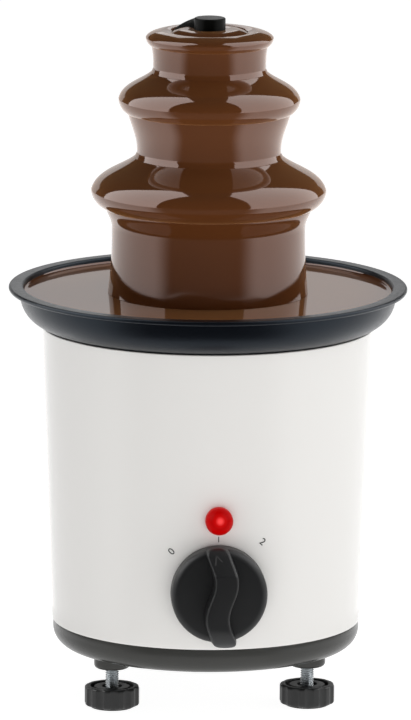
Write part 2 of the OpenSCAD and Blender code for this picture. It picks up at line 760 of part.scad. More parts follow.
module idler_gear() {
  color("#e4dcc4") translate([idler_x, idler_y, 0]) difference() {
    union() {
      translate([0, 0, gear_1_z]) gear(module_1, wheel_teeth, idler_to_rotor_a, gear_t);
      translate([0, 0, gear_1_z + gear_t - overlap])
        gear(module_2, pinion_teeth, idler_to_output_a + tooth_a / 2, gear_2_z - gear_1_z + overlap);
    }
    translate([0, 0, gear_1_z - 1]) cylinder(h = can_h, r = pin_r + run_gap);
  }
}

module output_gear() {
  color("#d8d0b8") {
    translate([0, 0, gear_2_z]) gear(module_2, wheel_teeth, idler_to_output_a + 180, gear_t);
    translate([0, 0, gear_2_z + gear_t - overlap])
      cylinder(h = joint_z - 0.2 - gear_2_z - gear_t + overlap, r = shaft_r);
    translate([0, 0, plate_z + 0.2]) cylinder(h = gear_2_z - plate_z + overlap, r = journal_r);
  }
}

// Drive line

module shaft_coupling() {
  color("#b9bcbc") pipe(coupling_r, shaft_r + run_gap, coupling_top_z - coupling_h, coupling_top_z);
}

module drive_shaft() {
  color("#d3d5d5") translate([0, 0, joint_z]) cylinder(h = core_z + shaft_reach - joint_z, r = shaft_r);
}

// The cross pin stands out on both sides of the shaft; the shaft's own solid is left out of it
module drive_pin() {
  half = core_r - 0.4;
  color("#d3d5d5") difference() {
    translate([-half, 0, pin_z]) rotate([0, 90, 0]) cylinder(h = 2 * half, d = pin_d);
    translate([0, 0, pin_z - pin_d]) cylinder(h = 2 * pin_d, r = shaft_r + run_gap);
  }
}

module shaft_bush() {
  color("#a87f3a") pipe(bore_r() - run_gap, shaft_r + run_gap, hub_z, hub_top_z - 3.4);
}

module shaft_seal() {
  color("#6d3a34") pipe(bore_r() - run_gap, shaft_r + run_gap, hub_top_z - 3.2, hub_top_z);
}

// Heating

module heater_ring() {
  color("#8b8378") translate([0, 0, sump_z - heater_tube_r - fit_gap]) rotate([0, 0, 20])
    rotate_extrude(angle = 320) translate([heater_r, 0]) circle(r = heater_tube_r);
}

module heater_clamp() {
  inner_r = heater_screw_r() - 3.4;
  color("#b4b6b2") translate([0, 0, clamp_z()]) linear_extrude(clamp_t) difference() {
    circle(r = heater_r + heater_tube_r);
    circle(r = inner_r);
    for (a = clamp_angles) rotate(a) translate([heater_screw_r(), 0]) circle(r = screw_r + fit_gap);
  }
}

module clamp_screws() {
  color("#c2c4c4") on_ring(heater_screw_r(), clamp_angles) {
    translate([0, 0, clamp_z() - screw_head_h]) cylinder(h = screw_head_h, r = screw_head_r);
    translate([0, 0, clamp_z() - overlap]) cylinder(h = clamp_t + clamp_grip + overlap, r = screw_r);
  }
}

module thermostat() {
  place_r = hub_r + thermostat_d / 2 + 2.5;
  color("#cfc9ba") translate([0, -place_r, sump_z - fit_gap]) {
    translate([0, 0, -2.4]) cylinder(h = 2.4, d = thermostat_d);
    translate([0, 0, -thermostat_h]) cylinder(h = thermostat_h - 2, d = thermostat_d - 2);
  }
}

module thermal_fuse() {
  place_r = hub_r + fuse_d + 6;
  color("#e3e0d6") translate([-7, place_r, sump_z - fuse_d / 2 - fit_gap]) rotate([0, 90, 0])
    cylinder(h = 14, d = fuse_d);
}

// Auger

module auger_core() {
  bevel = 0.6;
  color("#242625") difference() {
    rotate_extrude() polygon([[0, core_z], [core_r, core_z], [core_r, core_top_z - bevel],
      [core_r - bevel, core_top_z], [0, core_top_z]]);
    translate([0, 0, core_z - 1]) cylinder(h = shaft_reach + 2, r = shaft_r + run_gap);
    translate([-core_r - 1, -pin_d / 2 - fit_gap, core_z - 1])
      cube([2 * core_r + 2, pin_d + 2 * fit_gap, pin_z - core_z + pin_d / 2 + fit_gap + 1]);
  }
}

// Left-hand screw flight, four corners at each step of its turn
module auger_flight() {
  top_z = core_top_z - flight_sink;
  rise = top_z - flight_t - flight_z;
  step_a = 15;
  thin = (flight_t - flight_tip_t) / 2;
  steps = floor(rise / flight_pitch * 360 / step_a);
  inner_r = (core_r + run_gap) / cos(step_a / 2);
  points = [for (i = [0 : steps]) let (
      a = flight_end_a + (steps - i) * step_a,
      z = top_z - flight_t - (steps - i) * step_a / 360 * flight_pitch,
      d = [cos(a), sin(a)])
    each [[inner_r * d.x, inner_r * d.y, z], [flight_r * d.x, flight_r * d.y, z + thin],
      [flight_r * d.x, flight_r * d.y, z + flight_t - thin], [inner_r * d.x, inner_r * d.y, z + flight_t]]];
  walls = [for (i = [0 : steps - 1], k = [0 : 3]) let (a = 4 * i + k, b = 4 * i + (k + 1) % 4)
    each [[a, a + 4, b], [b, a + 4, b + 4]]];
  last = 4 * steps;
  ends = [[0, 1, 2], [0, 2, 3], [last, last + 2, last + 1], [last, last + 3, last + 2]];
  color("#242625") polyhedron(points, concat(walls, ends));
}

// Tower

module tower_tube() {
  color("#c9cbca") difference() {
    union() {
      pipe(tube_r, tube_in_r, tube_z, tube_top_z);
      pipe(flange_r, tube_in_r, tube_z, tube_z + flange_t);
    }
    for (a = inlet_angles) rotate([0, 0, a])
      translate([0, -inlet_w / 2, tube_z + flange_t]) cube([tube_r + 2, inlet_w, inlet_h]);
    on_ring(peg_ring_r, peg_angles) translate([0, 0, tube_z - 1])
      cylinder(h = flange_t + 2, r = peg_d / 2 + free_gap);
  }
}

// Domed tier with a collar round the tube
module tier(neck, lip) {
  top = dome(neck, lip, tier_bend, film);
  under = dome(neck, lip, tier_bend, film + tier_wall);
  collar_z = neck.y - film - collar_h;
  outline = concat(
    [[tube_r + fit_gap, collar_z], [tube_r + fit_gap, neck.y - film], [collar_r, neck.y - film]],
    neck.x > collar_r ? top : rest(top),
    [[lip.x - film, lip.y - drip], [lip.x - film - tier_wall, lip.y - drip]],
    backward(under),
    [[collar_r, neck.y - film - tier_wall], [collar_r, collar_z]]);
  color("#c9cbca") rotate_extrude() polygon(outline);
}

module lower_tier() {
  tier(lower_neck, lower_lip);
}

module upper_tier() {
  tier(upper_neck, upper_lip);
}

module top_cup() {
  top = dome(cup_neck, cup_lip, cup_bend, film);
  inner_r = cup_lip.x - film - tier_wall;
  outline = concat(
    [[tube_r + fit_gap, cup_z - collar_h + cup_rise], [tube_r + fit_gap, tube_top_z]],
    top,
    [[cup_lip.x - film, cup_z - drip], [inner_r, cup_z - drip], [collar_r, cup_z - drip + 0.4],
      [collar_r, cup_z - collar_h + cup_rise]]);
  color("#c9cbca") rotate_extrude() polygon(outline);
}

// Chocolate

// Film over a tier's dome, round its lip and down as a curtain
module flow(inner_edge, neck, lip, bend, edge, waist, foot) {
  fall = curtain(edge, waist, foot);
  drip_r = lip.x - film;
  outline = concat(
    inner_edge,
    dome(neck, lip, bend, 0),
    rest(underside(lip, edge)),
    rest(fall),
    [for (p = backward(fall)) p - [film, 0]],
    [[drip_r - tier_wall - fit_gap, lip.y - drip - fit_gap], [drip_r + fit_gap, lip.y - drip - fit_gap]],
    backward(dome(neck, lip, bend, film - fit_gap)));
  color("#6b3d1e") rotate_extrude() polygon(outline);
}

module top_chocolate() {
  weir_r = tube_in_r - fit_gap;
  inside = [[collar_r, tube_top_z + fit_gap], [weir_r, tube_top_z + fit_gap], [weir_r, tube_top_z - 3],
    [weir_r - 0.4, tube_top_z - 3]];
  crest = curve([weir_r - 0.4, tube_top_z - 1], [weir_r - 0.4, tube_top_z + film],
    [weir_r + 1, cup_neck.y], cup_neck - [0.4, 0]);
  flow(concat(inside, crest), cup_neck, cup_lip, cup_bend, [cup_edge_r, cup_edge_z],
    [cup_waist_r, (cup_edge_z + upper_neck.y) / 2 - 1], upper_neck);
}

module upper_chocolate() {
  flow([upper_neck - [film, film - fit_gap], upper_neck - [film, 0]], upper_neck, upper_lip, tier_bend,
    [upper_edge_r, upper_edge_z], [upper_waist_r, lower_neck.y + 4], lower_neck);
}

module lower_chocolate() {
  flow([lower_neck - [film, film - fit_gap], lower_neck - [film, 0]], lower_neck, lower_lip, tier_bend,
    [lower_edge_r, lower_edge_z], [lower_waist_r, pool_z + lower_waist_share * (lower_edge_z - pool_z)],
    [lower_foot_r, pool_z + foot_gap]);
}

module chocolate_pool() {
  hole_r = flange_r + free_gap;
  wall = bowl_inside(fit_gap);
  outline = concat([[hole_r, rim_z], [wall[0].x, rim_z]], wall, [[hole_r, bowl_floor_z + fit_gap]]);
  color("#5f351a") difference() {
    rotate_extrude($fn = 96) polygon(outline);
    translate([0, 0, pool_z]) cylinder(h = bowl_rise, r = rim_r);
  }
}

// Controls

// Outline of the grip seen from the front: a bar whose middle line swings to and fro
function grip_points() =
  let (top = knob_d / 2 + 0.4, low = knob_d / 2 + grip_tail, w = grip_w / 2,
    left = [for (i = [0 : 16]) let (h = top - 2 - i * (top + low - 4) / 16)
      [grip_off + grip_swing * sin(360 * (h + 1) / grip_wave), h]])
  concat(
    [for (p = left) p - [w, 0]],
    [left[16] - [w - 2, 2], left[16] + [w - 2, -2]],
    [for (p = backward(left)) p + [w, 0]],
    [left[0] + [w - 2, 2], left[0] - [w - 2, -2]]);

module control_knob() {
  bevel = 2;
  spindle_end_y = grip_front_y + spindle_cover;
  color("#232425") difference() {
    union() {
      translate([0, knob_back_y, knob_axis_z]) rotate([90, 0, 0]) rotate_extrude($fn = 96)
        polygon([[0, 0], [knob_d / 2, 0], [knob_d / 2, knob_t - bevel], [knob_d / 2 - bevel, knob_t],
          [0, knob_t]]);
      difference() {
        translate([0, knob_front_y + overlap, knob_axis_z]) rotate([90, 0, 0])
          linear_extrude(grip_h + overlap) polygon(grip_points());
        translate([-knob_d, grip_front_y, knob_axis_z + knob_d / 4]) rotate([-grip_slope_a, 0, 0])
          translate([0, -grip_h, 0]) cube([2 * knob_d, grip_h, knob_d]);
      }
    }
    bar_y(spindle_end_y, knob_back_y + 1, spindle_d / 2 + run_gap, knob_axis_z);
    bar_y(knob_back_y - knob_recess_depth(), knob_back_y + 1, knob_recess_d / 2, knob_axis_z);
  }
}

// Depth of the recess behind the knob that clears the nut
function knob_recess_depth() = max(2.5, knob_back_y - nut_y + nut_t + 0.8);

module switch_spindle() {
  color("#c8cacb")
    bar_y(grip_front_y + spindle_cover + 0.3, switch_face_y + switch_l / 2, spindle_d / 2, knob_axis_z);
}

module switch_body() {
  neck_y = nut_y - nut_t - 0.4;
  color("#d9d4c4") difference() {
    union() {
      translate([-switch_w / 2, switch_face_y, knob_axis_z - switch_w / 2])
        cube([switch_w, switch_l, switch_w]);
      bar_y(shoulder_y, switch_face_y + 1, neck_d / 2 + 1.6, knob_axis_z);
      bar_y(neck_y, switch_face_y + 1, neck_d / 2, knob_axis_z);
    }
    bar_y(neck_y - 1, switch_face_y + switch_l / 2 + 0.3, spindle_d / 2 + run_gap, knob_axis_z);
  }
}

module switch_nut() {
  color("#b9bcbc") difference() {
    hex_y(nut_y - nut_t, nut_y, nut_af, knob_axis_z);
    bar_y(nut_y - nut_t - 1, nut_y + 1, neck_d / 2 + run_gap, knob_axis_z);
  }
}

module lamp_lens() {
  r = lens_d / 2;
  dome_r = (r * r + lens_dome * lens_dome) / (2 * lens_dome);
  color("#d01212") translate([0, lens_y, lamp_axis_z]) rotate([90, 0, 0]) rotate_extrude()
    polygon(concat(
      [[0, lens_y - holder_y], [lamp_neck_d / 2, lens_y - holder_y], [lamp_neck_d / 2, 0], [r, 0]],
      arc([0, lens_flange + lens_dome - dome_r], dome_r, asin((dome_r - lens_dome) / dome_r), 90)));
}

module lamp_holder() {
  color("#e2dfd4") bar_y(holder_y, holder_y + holder_l, lamp_neck_d / 2, lamp_axis_z);
}

module lamp_clip() {
  color("#c2c4c4") difference() {
    bar_y(clip_y, clip_y + clip_t, clip_d / 2, lamp_axis_z);
    bar_y(clip_y - 1, clip_y + clip_t + 1, lamp_neck_d / 2 + run_gap, lamp_axis_z);
  }
}

// Mains inlet

module cord_gland() {
  flange_t = 2.6;
  inside_y = gland_nut_y - 8;
  color("#2b2c2c") difference() {
    union() {
      bar_y(gland_y, gland_y + flange_t, gland_flange_d / 2, gland_axis_z);
      bar_y(inside_y, gland_y + 1, gland_d / 2, gland_axis_z);
    }
    bar_y(inside_y - 1, gland_y + flange_t + 1, gland_bore / 2, gland_axis_z);
  }
}

module gland_nut() {
  nut_l = 4;
  color("#2b2c2c") difference() {
    hex_y(gland_nut_y - nut_l, gland_nut_y, gland_nut_af, gland_axis_z);
    bar_y(gland_nut_y - nut_l - 1, gland_nut_y + 1, gland_d / 2 + run_gap, gland_axis_z);
  }
}

module terminal_block() {
  ways = 3;
  color("#e8e4d8") difference() {
    translate([-block_w / 2, block_y - block_l / 2, floor_z]) cube([block_w, block_l, block_h]);
    for (i = [0 : ways - 1]) translate([(i - 1) * block_w / ways, block_y, floor_z + 3])
      cylinder(h = block_h, d = 5);
  }
}

// Wiring between the block and what it feeds

module lead(p) {
  swept(route(p), lead_d / 2);
}

module motor_leads() {
  top = [-9, rotor_off + can_r + lead_d / 2 + 0.2, can_z + 8];
  color("#a5752e") for (s = [0, 1]) lead([
    [-block_w / 3 - 1.3 + 2.6 * s, block_y, floor_z + block_h + 0.2],
    [-block_w / 3 - 1.3 + 2.6 * s, block_y + 1, floor_z + block_h + 20],
    [top.x + 4 * s, top.y, can_z - 14],
    [top.x + 4 * s, top.y, top.z]]);
}

module heater_leads() {
  end_a = [14, -14];
  color("#c9c4b4") for (s = [0, 1]) let (e = heater_r * [cos(end_a[s]), sin(end_a[s])]) lead([
    [-1.3 + 2.6 * s, block_y, floor_z + block_h + 0.2],
    [6 + 4 * s, block_y - 8 - 4 * s, floor_z + block_h + 22],
    [e.x, e.y, can_z - 8],
    [e.x, e.y, sump_z - 2 * heater_tube_r - 3]]);
}

module lamp_leads() {
  back_y = holder_y + holder_l + 0.6;
  color("#39424c") for (s = [-1, 1]) lead([
    [2.6 * s, back_y, lamp_axis_z],
    [4 * s, back_y + 8, lamp_axis_z - 1],
    [(switch_w / 2 + 4) * s, switch_face_y + switch_l + 6, knob_axis_z + 16],
    [(switch_w / 3) * s, switch_face_y + switch_l + 7, knob_axis_z],
    [(switch_w / 3) * s, switch_face_y + switch_l + 0.2, knob_axis_z]]);
}

base_pan();
foot_inserts();
foot_pad(0);  // foot_pad_left
foot_pad(1);  // foot_pad_right
foot_pad(2);  // foot_pad_rear
foot_knob(0);  // foot_knob_left
foot_knob(1);  // foot_knob_right
foot_knob(2);  // foot_knob_rear
foot_rod(0);  // foot_rod_left
foot_rod(1);  // foot_rod_right
foot_rod(2);  // foot_rod_rear
casing();
bowl();
bowl_seal();
tie_bolts();
lower_spacers();
upper_spacers();
motor_bracket();
motor_can();
motor_cover();
gear_plate();
motor_coil();
gear_pins();
motor_screws();
rotor();
idler_gear();
output_gear();
shaft_coupling();
drive_shaft();
drive_pin();
shaft_bush();
shaft_seal();
heater_ring();
heater_clamp();
clamp_screws();
thermostat();
thermal_fuse();
auger_core();
auger_flight();
tower_tube();
lower_tier();
upper_tier();
top_cup();
top_chocolate();
upper_chocolate();
lower_chocolate();
chocolate_pool();
control_knob();
switch_spindle();
switch_body();
switch_nut();
lamp_lens();
lamp_holder();
lamp_clip();
cord_gland();
gland_nut();
terminal_block();
motor_leads();
heater_leads();
lamp_leads();
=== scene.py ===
import json
import math
import bmesh
import bpy
import numpy as np
from mathutils import Matrix, Vector


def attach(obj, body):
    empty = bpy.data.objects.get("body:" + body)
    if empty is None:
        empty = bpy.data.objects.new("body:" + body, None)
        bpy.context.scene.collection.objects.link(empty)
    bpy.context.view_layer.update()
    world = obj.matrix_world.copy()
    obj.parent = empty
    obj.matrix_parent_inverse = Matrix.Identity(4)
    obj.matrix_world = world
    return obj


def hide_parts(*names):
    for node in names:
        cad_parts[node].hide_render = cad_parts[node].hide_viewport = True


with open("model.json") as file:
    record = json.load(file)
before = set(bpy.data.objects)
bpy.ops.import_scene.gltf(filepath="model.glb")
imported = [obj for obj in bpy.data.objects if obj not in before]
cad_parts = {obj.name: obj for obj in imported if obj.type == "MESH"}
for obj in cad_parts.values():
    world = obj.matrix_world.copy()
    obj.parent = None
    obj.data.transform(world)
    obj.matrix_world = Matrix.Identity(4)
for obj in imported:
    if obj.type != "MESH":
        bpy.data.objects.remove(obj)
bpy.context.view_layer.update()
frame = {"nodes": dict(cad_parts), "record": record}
nodes = frame["nodes"]
scene = bpy.context.scene
scene.view_settings.view_transform = "Standard"
mm = 0.001
print("frame:", len(nodes), "nodes")

# camera: placed on the photo's viewing line, sizes in mm, angles in degrees, focal length in pixels
cameraView = {"distance": 4000, "height": 925, "aside": -0.9, "pitch": 10.93, "side": 4.4, "roll": 0.4,
              "focal": 9110.7, "imageHeight": 720, "sensor": 36}


def placeCamera(v):
    lens = bpy.data.cameras.new("camera")
    lens.sensor_width = v["sensor"]
    lens.lens = v["focal"] / v["imageHeight"] * v["sensor"]
    eye = bpy.data.objects.new("camera", lens)
    scene.collection.objects.link(eye)
    side = math.radians(v["side"])
    turn = (Matrix.Rotation(-side, 4, "Z") @ Matrix.Rotation(math.radians(90 - v["pitch"]), 4, "X")
            @ Matrix.Rotation(math.radians(v["roll"]), 4, "Z"))
    place = Matrix.Rotation(-side, 3, "Z") @ Vector((v["aside"], -v["distance"], v["height"])) * mm
    eye.matrix_world = Matrix.Translation(place) @ turn
    scene.camera = eye


placeCamera(cameraView)
print("camera placed")


# Mesh helpers, all in mm

# quads of a grid, rows by columns; either way may close on itself
def gridQuads(rows, cols, closeRows, closeCols):
    i, j = np.meshgrid(np.arange(rows - (not closeRows)), np.arange(cols - (not closeCols)), indexing="ij")
    iNext, jNext = (i + 1) % rows, (j + 1) % cols
    corners = [i * cols + j, i * cols + jNext, iNext * cols + jNext, iNext * cols + j]
    return np.stack(corners, -1).reshape(-1, 4)


# points of an arc round a center, angles in degrees
def arc(center, radius, start, end, steps):
    a = np.radians(np.linspace(start, end, steps + 1))
    return np.stack([center[0] + radius * np.cos(a), center[1] + radius * np.sin(a)], -1)


# cubic curve: four control points weighted by u^3, 3u^2t, 3ut^2 and t^3
def cubic(a, b, c, d, steps):
    t = np.linspace(0, 1, steps + 1)[:, None]
    u = 1 - t
    a, b, c, d = (np.asarray(p, float) for p in (a, b, c, d))
    return u ** 3 * a + 3 * u * u * t * b + 3 * u * t * t * c + t ** 3 * d


# closed polygon whose corners (x, y, size) turn into parabolas that start and end that far from the corner
def eased(corners, steps=6):
    corners = np.asarray(corners, float)
    here, size = corners[:, :2], corners[:, 2:]
    ways = [np.roll(here, k, 0) - here for k in (1, -1)]
    before, after = (here + w / np.linalg.norm(w, axis=1, keepdims=True) * size for w in ways)
    t = np.linspace(0, 1, steps + 1)[None, :, None]
    bend = (1 - t) ** 2 * before[:, None] + 2 * t * (1 - t) * here[:, None] + t * t * after[:, None]
    return bend.reshape(-1, 2)


# the same line with more points, none further apart than step
def divide(line, step):
    along = np.concatenate([[0], np.cumsum(np.linalg.norm(np.diff(line, axis=0), axis=1))])
    marks = np.unique(np.concatenate([along, np.arange(0, along[-1], step)]))
    return np.stack([np.interp(marks, along, line[:, k]) for k in (0, 1)], -1)


# surface of revolution: a profile point (r, z) goes to (r cos a, r sin a, z); the profile runs
# counterclockwise, swell(r, z, a) moves a point outwards and lift(r, z, a) upwards
def revolve(profile, turns, center=(0, 0), closed=True, swell=None, lift=None):
    a = np.linspace(0, 2 * np.pi, turns, endpoint=False)[None, :]
    r, z = np.asarray(profile, float)[:, :1], np.asarray(profile, float)[:, 1:]
    out = r + (swell(r, z, a) if swell else 0 * a)
    up = z + (lift(r, z, a) if lift else 0 * a)
    points = np.stack(np.broadcast_arrays(center[0] + out * np.cos(a), center[1] + out * np.sin(a), up), -1)
    return points.reshape(-1, 3), gridQuads(len(r), turns, closed, True)


# closed skin over rows of points, each row a ring; the first and last ring are drawn in to their middle
def closedRows(rows):
    first, last = (np.broadcast_to(rows[k].mean(0), rows[:1].shape) for k in (0, -1))
    rows = np.concatenate([first, rows, last])
    return rows.reshape(-1, 3), gridQuads(len(rows), rows.shape[1], False, True)


# turns a shape made along z so that its z points to the front, from a point on the front
def toFront(shape, y, z):
    points, quads = shape
    return np.stack([points[:, 0], y - points[:, 2], z + points[:, 1]], -1), quads


# the same towards the back
def toBack(shape, y, z):
    points, quads = shape
    return np.stack([-points[:, 0], y + points[:, 2], z + points[:, 1]], -1), quads


def makeMesh(name, parts):
    starts = np.cumsum([0] + [len(points) for points, quads in parts])
    points = np.concatenate([points for points, quads in parts]) * mm
    quads = np.concatenate([part[1] + start for part, start in zip(parts, starts)])
    mesh = bpy.data.meshes.new(name)
    mesh.from_pydata(points.tolist(), [], quads.tolist())
    shape = bmesh.new()
    shape.from_mesh(mesh)
    bmesh.ops.remove_doubles(shape, verts=shape.verts, dist=1e-7)
    bmesh.ops.dissolve_degenerate(shape, edges=shape.edges, dist=1e-8)
    shape.to_mesh(mesh)
    shape.free()
    return mesh


def makePiece(name, parts, finish, body, stands=(), sharp=38):
    mesh = parts if isinstance(parts, bpy.types.Mesh) else makeMesh(name, parts)
    mesh.materials.clear()
    mesh.materials.append(finish)
    mesh.shade_smooth()
    mesh.set_sharp_from_angle(angle=math.radians(sharp))
    piece = bpy.data.objects.new(name, mesh)
    scene.collection.objects.link(piece)
    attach(piece, body)
    if stands:
        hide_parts(*stands)


# joins closed shapes to a mesh and cuts others out of it
def carve(name, solids, cuts):
    rough = bpy.data.objects.new(name, makeMesh(name, solids[:1]))
    tools = []
    for parts, mode in [([s], "UNION") for s in solids[1:]] + [([c], "DIFFERENCE") for c in cuts]:
        tool = bpy.data.objects.new(name + "Tool", makeMesh(name + "Tool", parts))
        step = rough.modifiers.new("step", "BOOLEAN")
        step.operation, step.solver, step.object = mode, "EXACT", tool
        tools.append(tool)
    for o in [rough] + tools:
        scene.collection.objects.link(o)
    made = bpy.data.meshes.new_from_object(rough.evaluated_get(bpy.context.evaluated_depsgraph_get()))
    made.name = name
    for o in [rough] + tools:
        bpy.data.objects.remove(o)
    return made


# closed upright cylinder, its edges eased
def barrel(r, low, high, ease=0.01, turns=64, center=(0, 0)):
    line = eased([(0, low, 0), (r, low, ease), (r, high, ease), (0, high, 0)])
    return revolve(line, turns, center, closed=False)


# closed box from its lowest to its highest corner, turned by an angle round z
def block(low, high, angle):
    pick = np.array([[0, 0], [1, 0], [1, 1], [0, 1]])
    x, y, z = (np.array([low[k], high[k]], float) for k in range(3))
    ring = np.stack([x[pick[:, 0]], y[pick[:, 1]]], -1)
    c, s = math.cos(math.radians(angle)), math.sin(math.radians(angle))
    ring = ring @ np.array([[c, s], [-s, c]])
    points = np.concatenate([np.c_[ring, np.full(4, z[0])], np.c_[ring, np.full(4, z[1])]])
    quads = np.array([[3, 2, 1, 0], [4, 5, 6, 7], [0, 1, 5, 4], [1, 2, 6, 5], [2, 3, 7, 6], [3, 0, 4, 7]])
    return points, quads


# Finishes

def newGroup(name, inputs, outputs):
    group = bpy.data.node_groups.new(name, "ShaderNodeTree")
    for label, kind in inputs:
        group.interface.new_socket(label, in_out="INPUT", socket_type=kind)
    for label, kind in outputs:
        group.interface.new_socket(label, in_out="OUTPUT", socket_type=kind)
    return group, group.nodes.new("NodeGroupInput"), group.nodes.new("NodeGroupOutput")


value, tint = "NodeSocketFloat", "NodeSocketColor"


def addMath(tree, mode, a, b):
    node = tree.nodes.new("ShaderNodeMath")
    node.operation = mode
    for socket, source in zip(node.inputs, (a, b)):
        if isinstance(source, (int, float)):
            socket.default_value = source
        else:
            tree.links.new(source, socket)
    return node.outputs[0]


# slow clouds of lighter and darker tone, and of smoother and rougher gloss
def cloudGroup():
    group, start, end = newGroup(
        "toneClouds",
        [("Color", tint), ("Spread", value), ("Size", value), ("Rough", value), ("Rough Spread", value)],
        [("Color", tint), ("Roughness", value)])
    coords = group.nodes.new("ShaderNodeTexCoord")
    noise = group.nodes.new("ShaderNodeTexNoise")
    noise.inputs["Detail"].default_value = 4
    group.links.new(coords.outputs["Object"], noise.inputs["Vector"])
    group.links.new(start.outputs["Size"], noise.inputs["Scale"])
    centered = addMath(group, "SUBTRACT", noise.outputs["Fac"], 0.5)
    gain = addMath(group, "ADD", addMath(group, "MULTIPLY", centered, start.outputs["Spread"]), 1)
    scaled = group.nodes.new("ShaderNodeVectorMath")
    scaled.operation = "SCALE"
    group.links.new(start.outputs["Color"], scaled.inputs[0])
    group.links.new(gain, scaled.inputs["Scale"])
    group.links.new(scaled.outputs[0], end.inputs["Color"])
    shift = addMath(group, "MULTIPLY", centered, start.outputs["Rough Spread"])
    group.links.new(addMath(group, "ADD", start.outputs["Rough"], shift), end.inputs["Roughness"])
    return group


# fine pits and flecks of a moulded, sprayed or cast surface
def grainGroup():
    group, start, end = newGroup("fineGrain", [("Size", value), ("Stretch", value)], [("Height", value)])
    coords = group.nodes.new("ShaderNodeTexCoord")
    stretch = group.nodes.new("ShaderNodeVectorMath")
    stretch.operation = "MULTIPLY"
    along = group.nodes.new("ShaderNodeCombineXYZ")
    along.inputs[0].default_value = 1
    along.inputs[1].default_value = 1
    group.links.new(start.outputs["Stretch"], along.inputs[2])
    group.links.new(coords.outputs["Object"], stretch.inputs[0])
    group.links.new(along.outputs[0], stretch.inputs[1])
    fine = group.nodes.new("ShaderNodeTexNoise")
    coarse = group.nodes.new("ShaderNodeTexVoronoi")
    for node in (fine, coarse):
        group.links.new(stretch.outputs[0], node.inputs["Vector"])
        group.links.new(start.outputs["Size"], node.inputs["Scale"])
    mixed = addMath(group, "ADD", addMath(group, "MULTIPLY", fine.outputs["Fac"], 0.7),
                    addMath(group, "MULTIPLY", coarse.outputs["Distance"], 0.3))
    group.links.new(mixed, end.inputs["Height"])
    return group


toneClouds = cloudGroup()
fineGrain = grainGroup()


# a material with clouds in its colour and gloss and grain in its normal; other sockets are set on the shader
def makeFinish(name, color, spread, cloud, rough, roughSpread, grain, stretch, depth, **sockets):
    finish = bpy.data.materials.new(name)
    finish.use_nodes = True
    tree = finish.node_tree
    shader = tree.nodes["Principled BSDF"]
    clouds = tree.nodes.new("ShaderNodeGroup")
    clouds.node_tree = toneClouds
    for label, v in (("Color", (*color, 1)), ("Spread", spread), ("Size", cloud), ("Rough", rough),
                     ("Rough Spread", roughSpread)):
        clouds.inputs[label].default_value = v
    tree.links.new(clouds.outputs["Color"], shader.inputs["Base Color"])
    tree.links.new(clouds.outputs["Roughness"], shader.inputs["Roughness"])
    speck = tree.nodes.new("ShaderNodeGroup")
    speck.node_tree = fineGrain
    speck.inputs["Size"].default_value = grain
    speck.inputs["Stretch"].default_value = stretch
    bump = tree.nodes.new("ShaderNodeBump")
    bump.inputs["Strength"].default_value = depth
    bump.inputs["Distance"].default_value = mm
    tree.links.new(speck.outputs["Height"], bump.inputs["Height"])
    tree.links.new(bump.outputs["Normal"], shader.inputs["Normal"])
    for label, v in sockets.items():
        shader.inputs[label.replace("_", " ")].default_value = v
    return finish


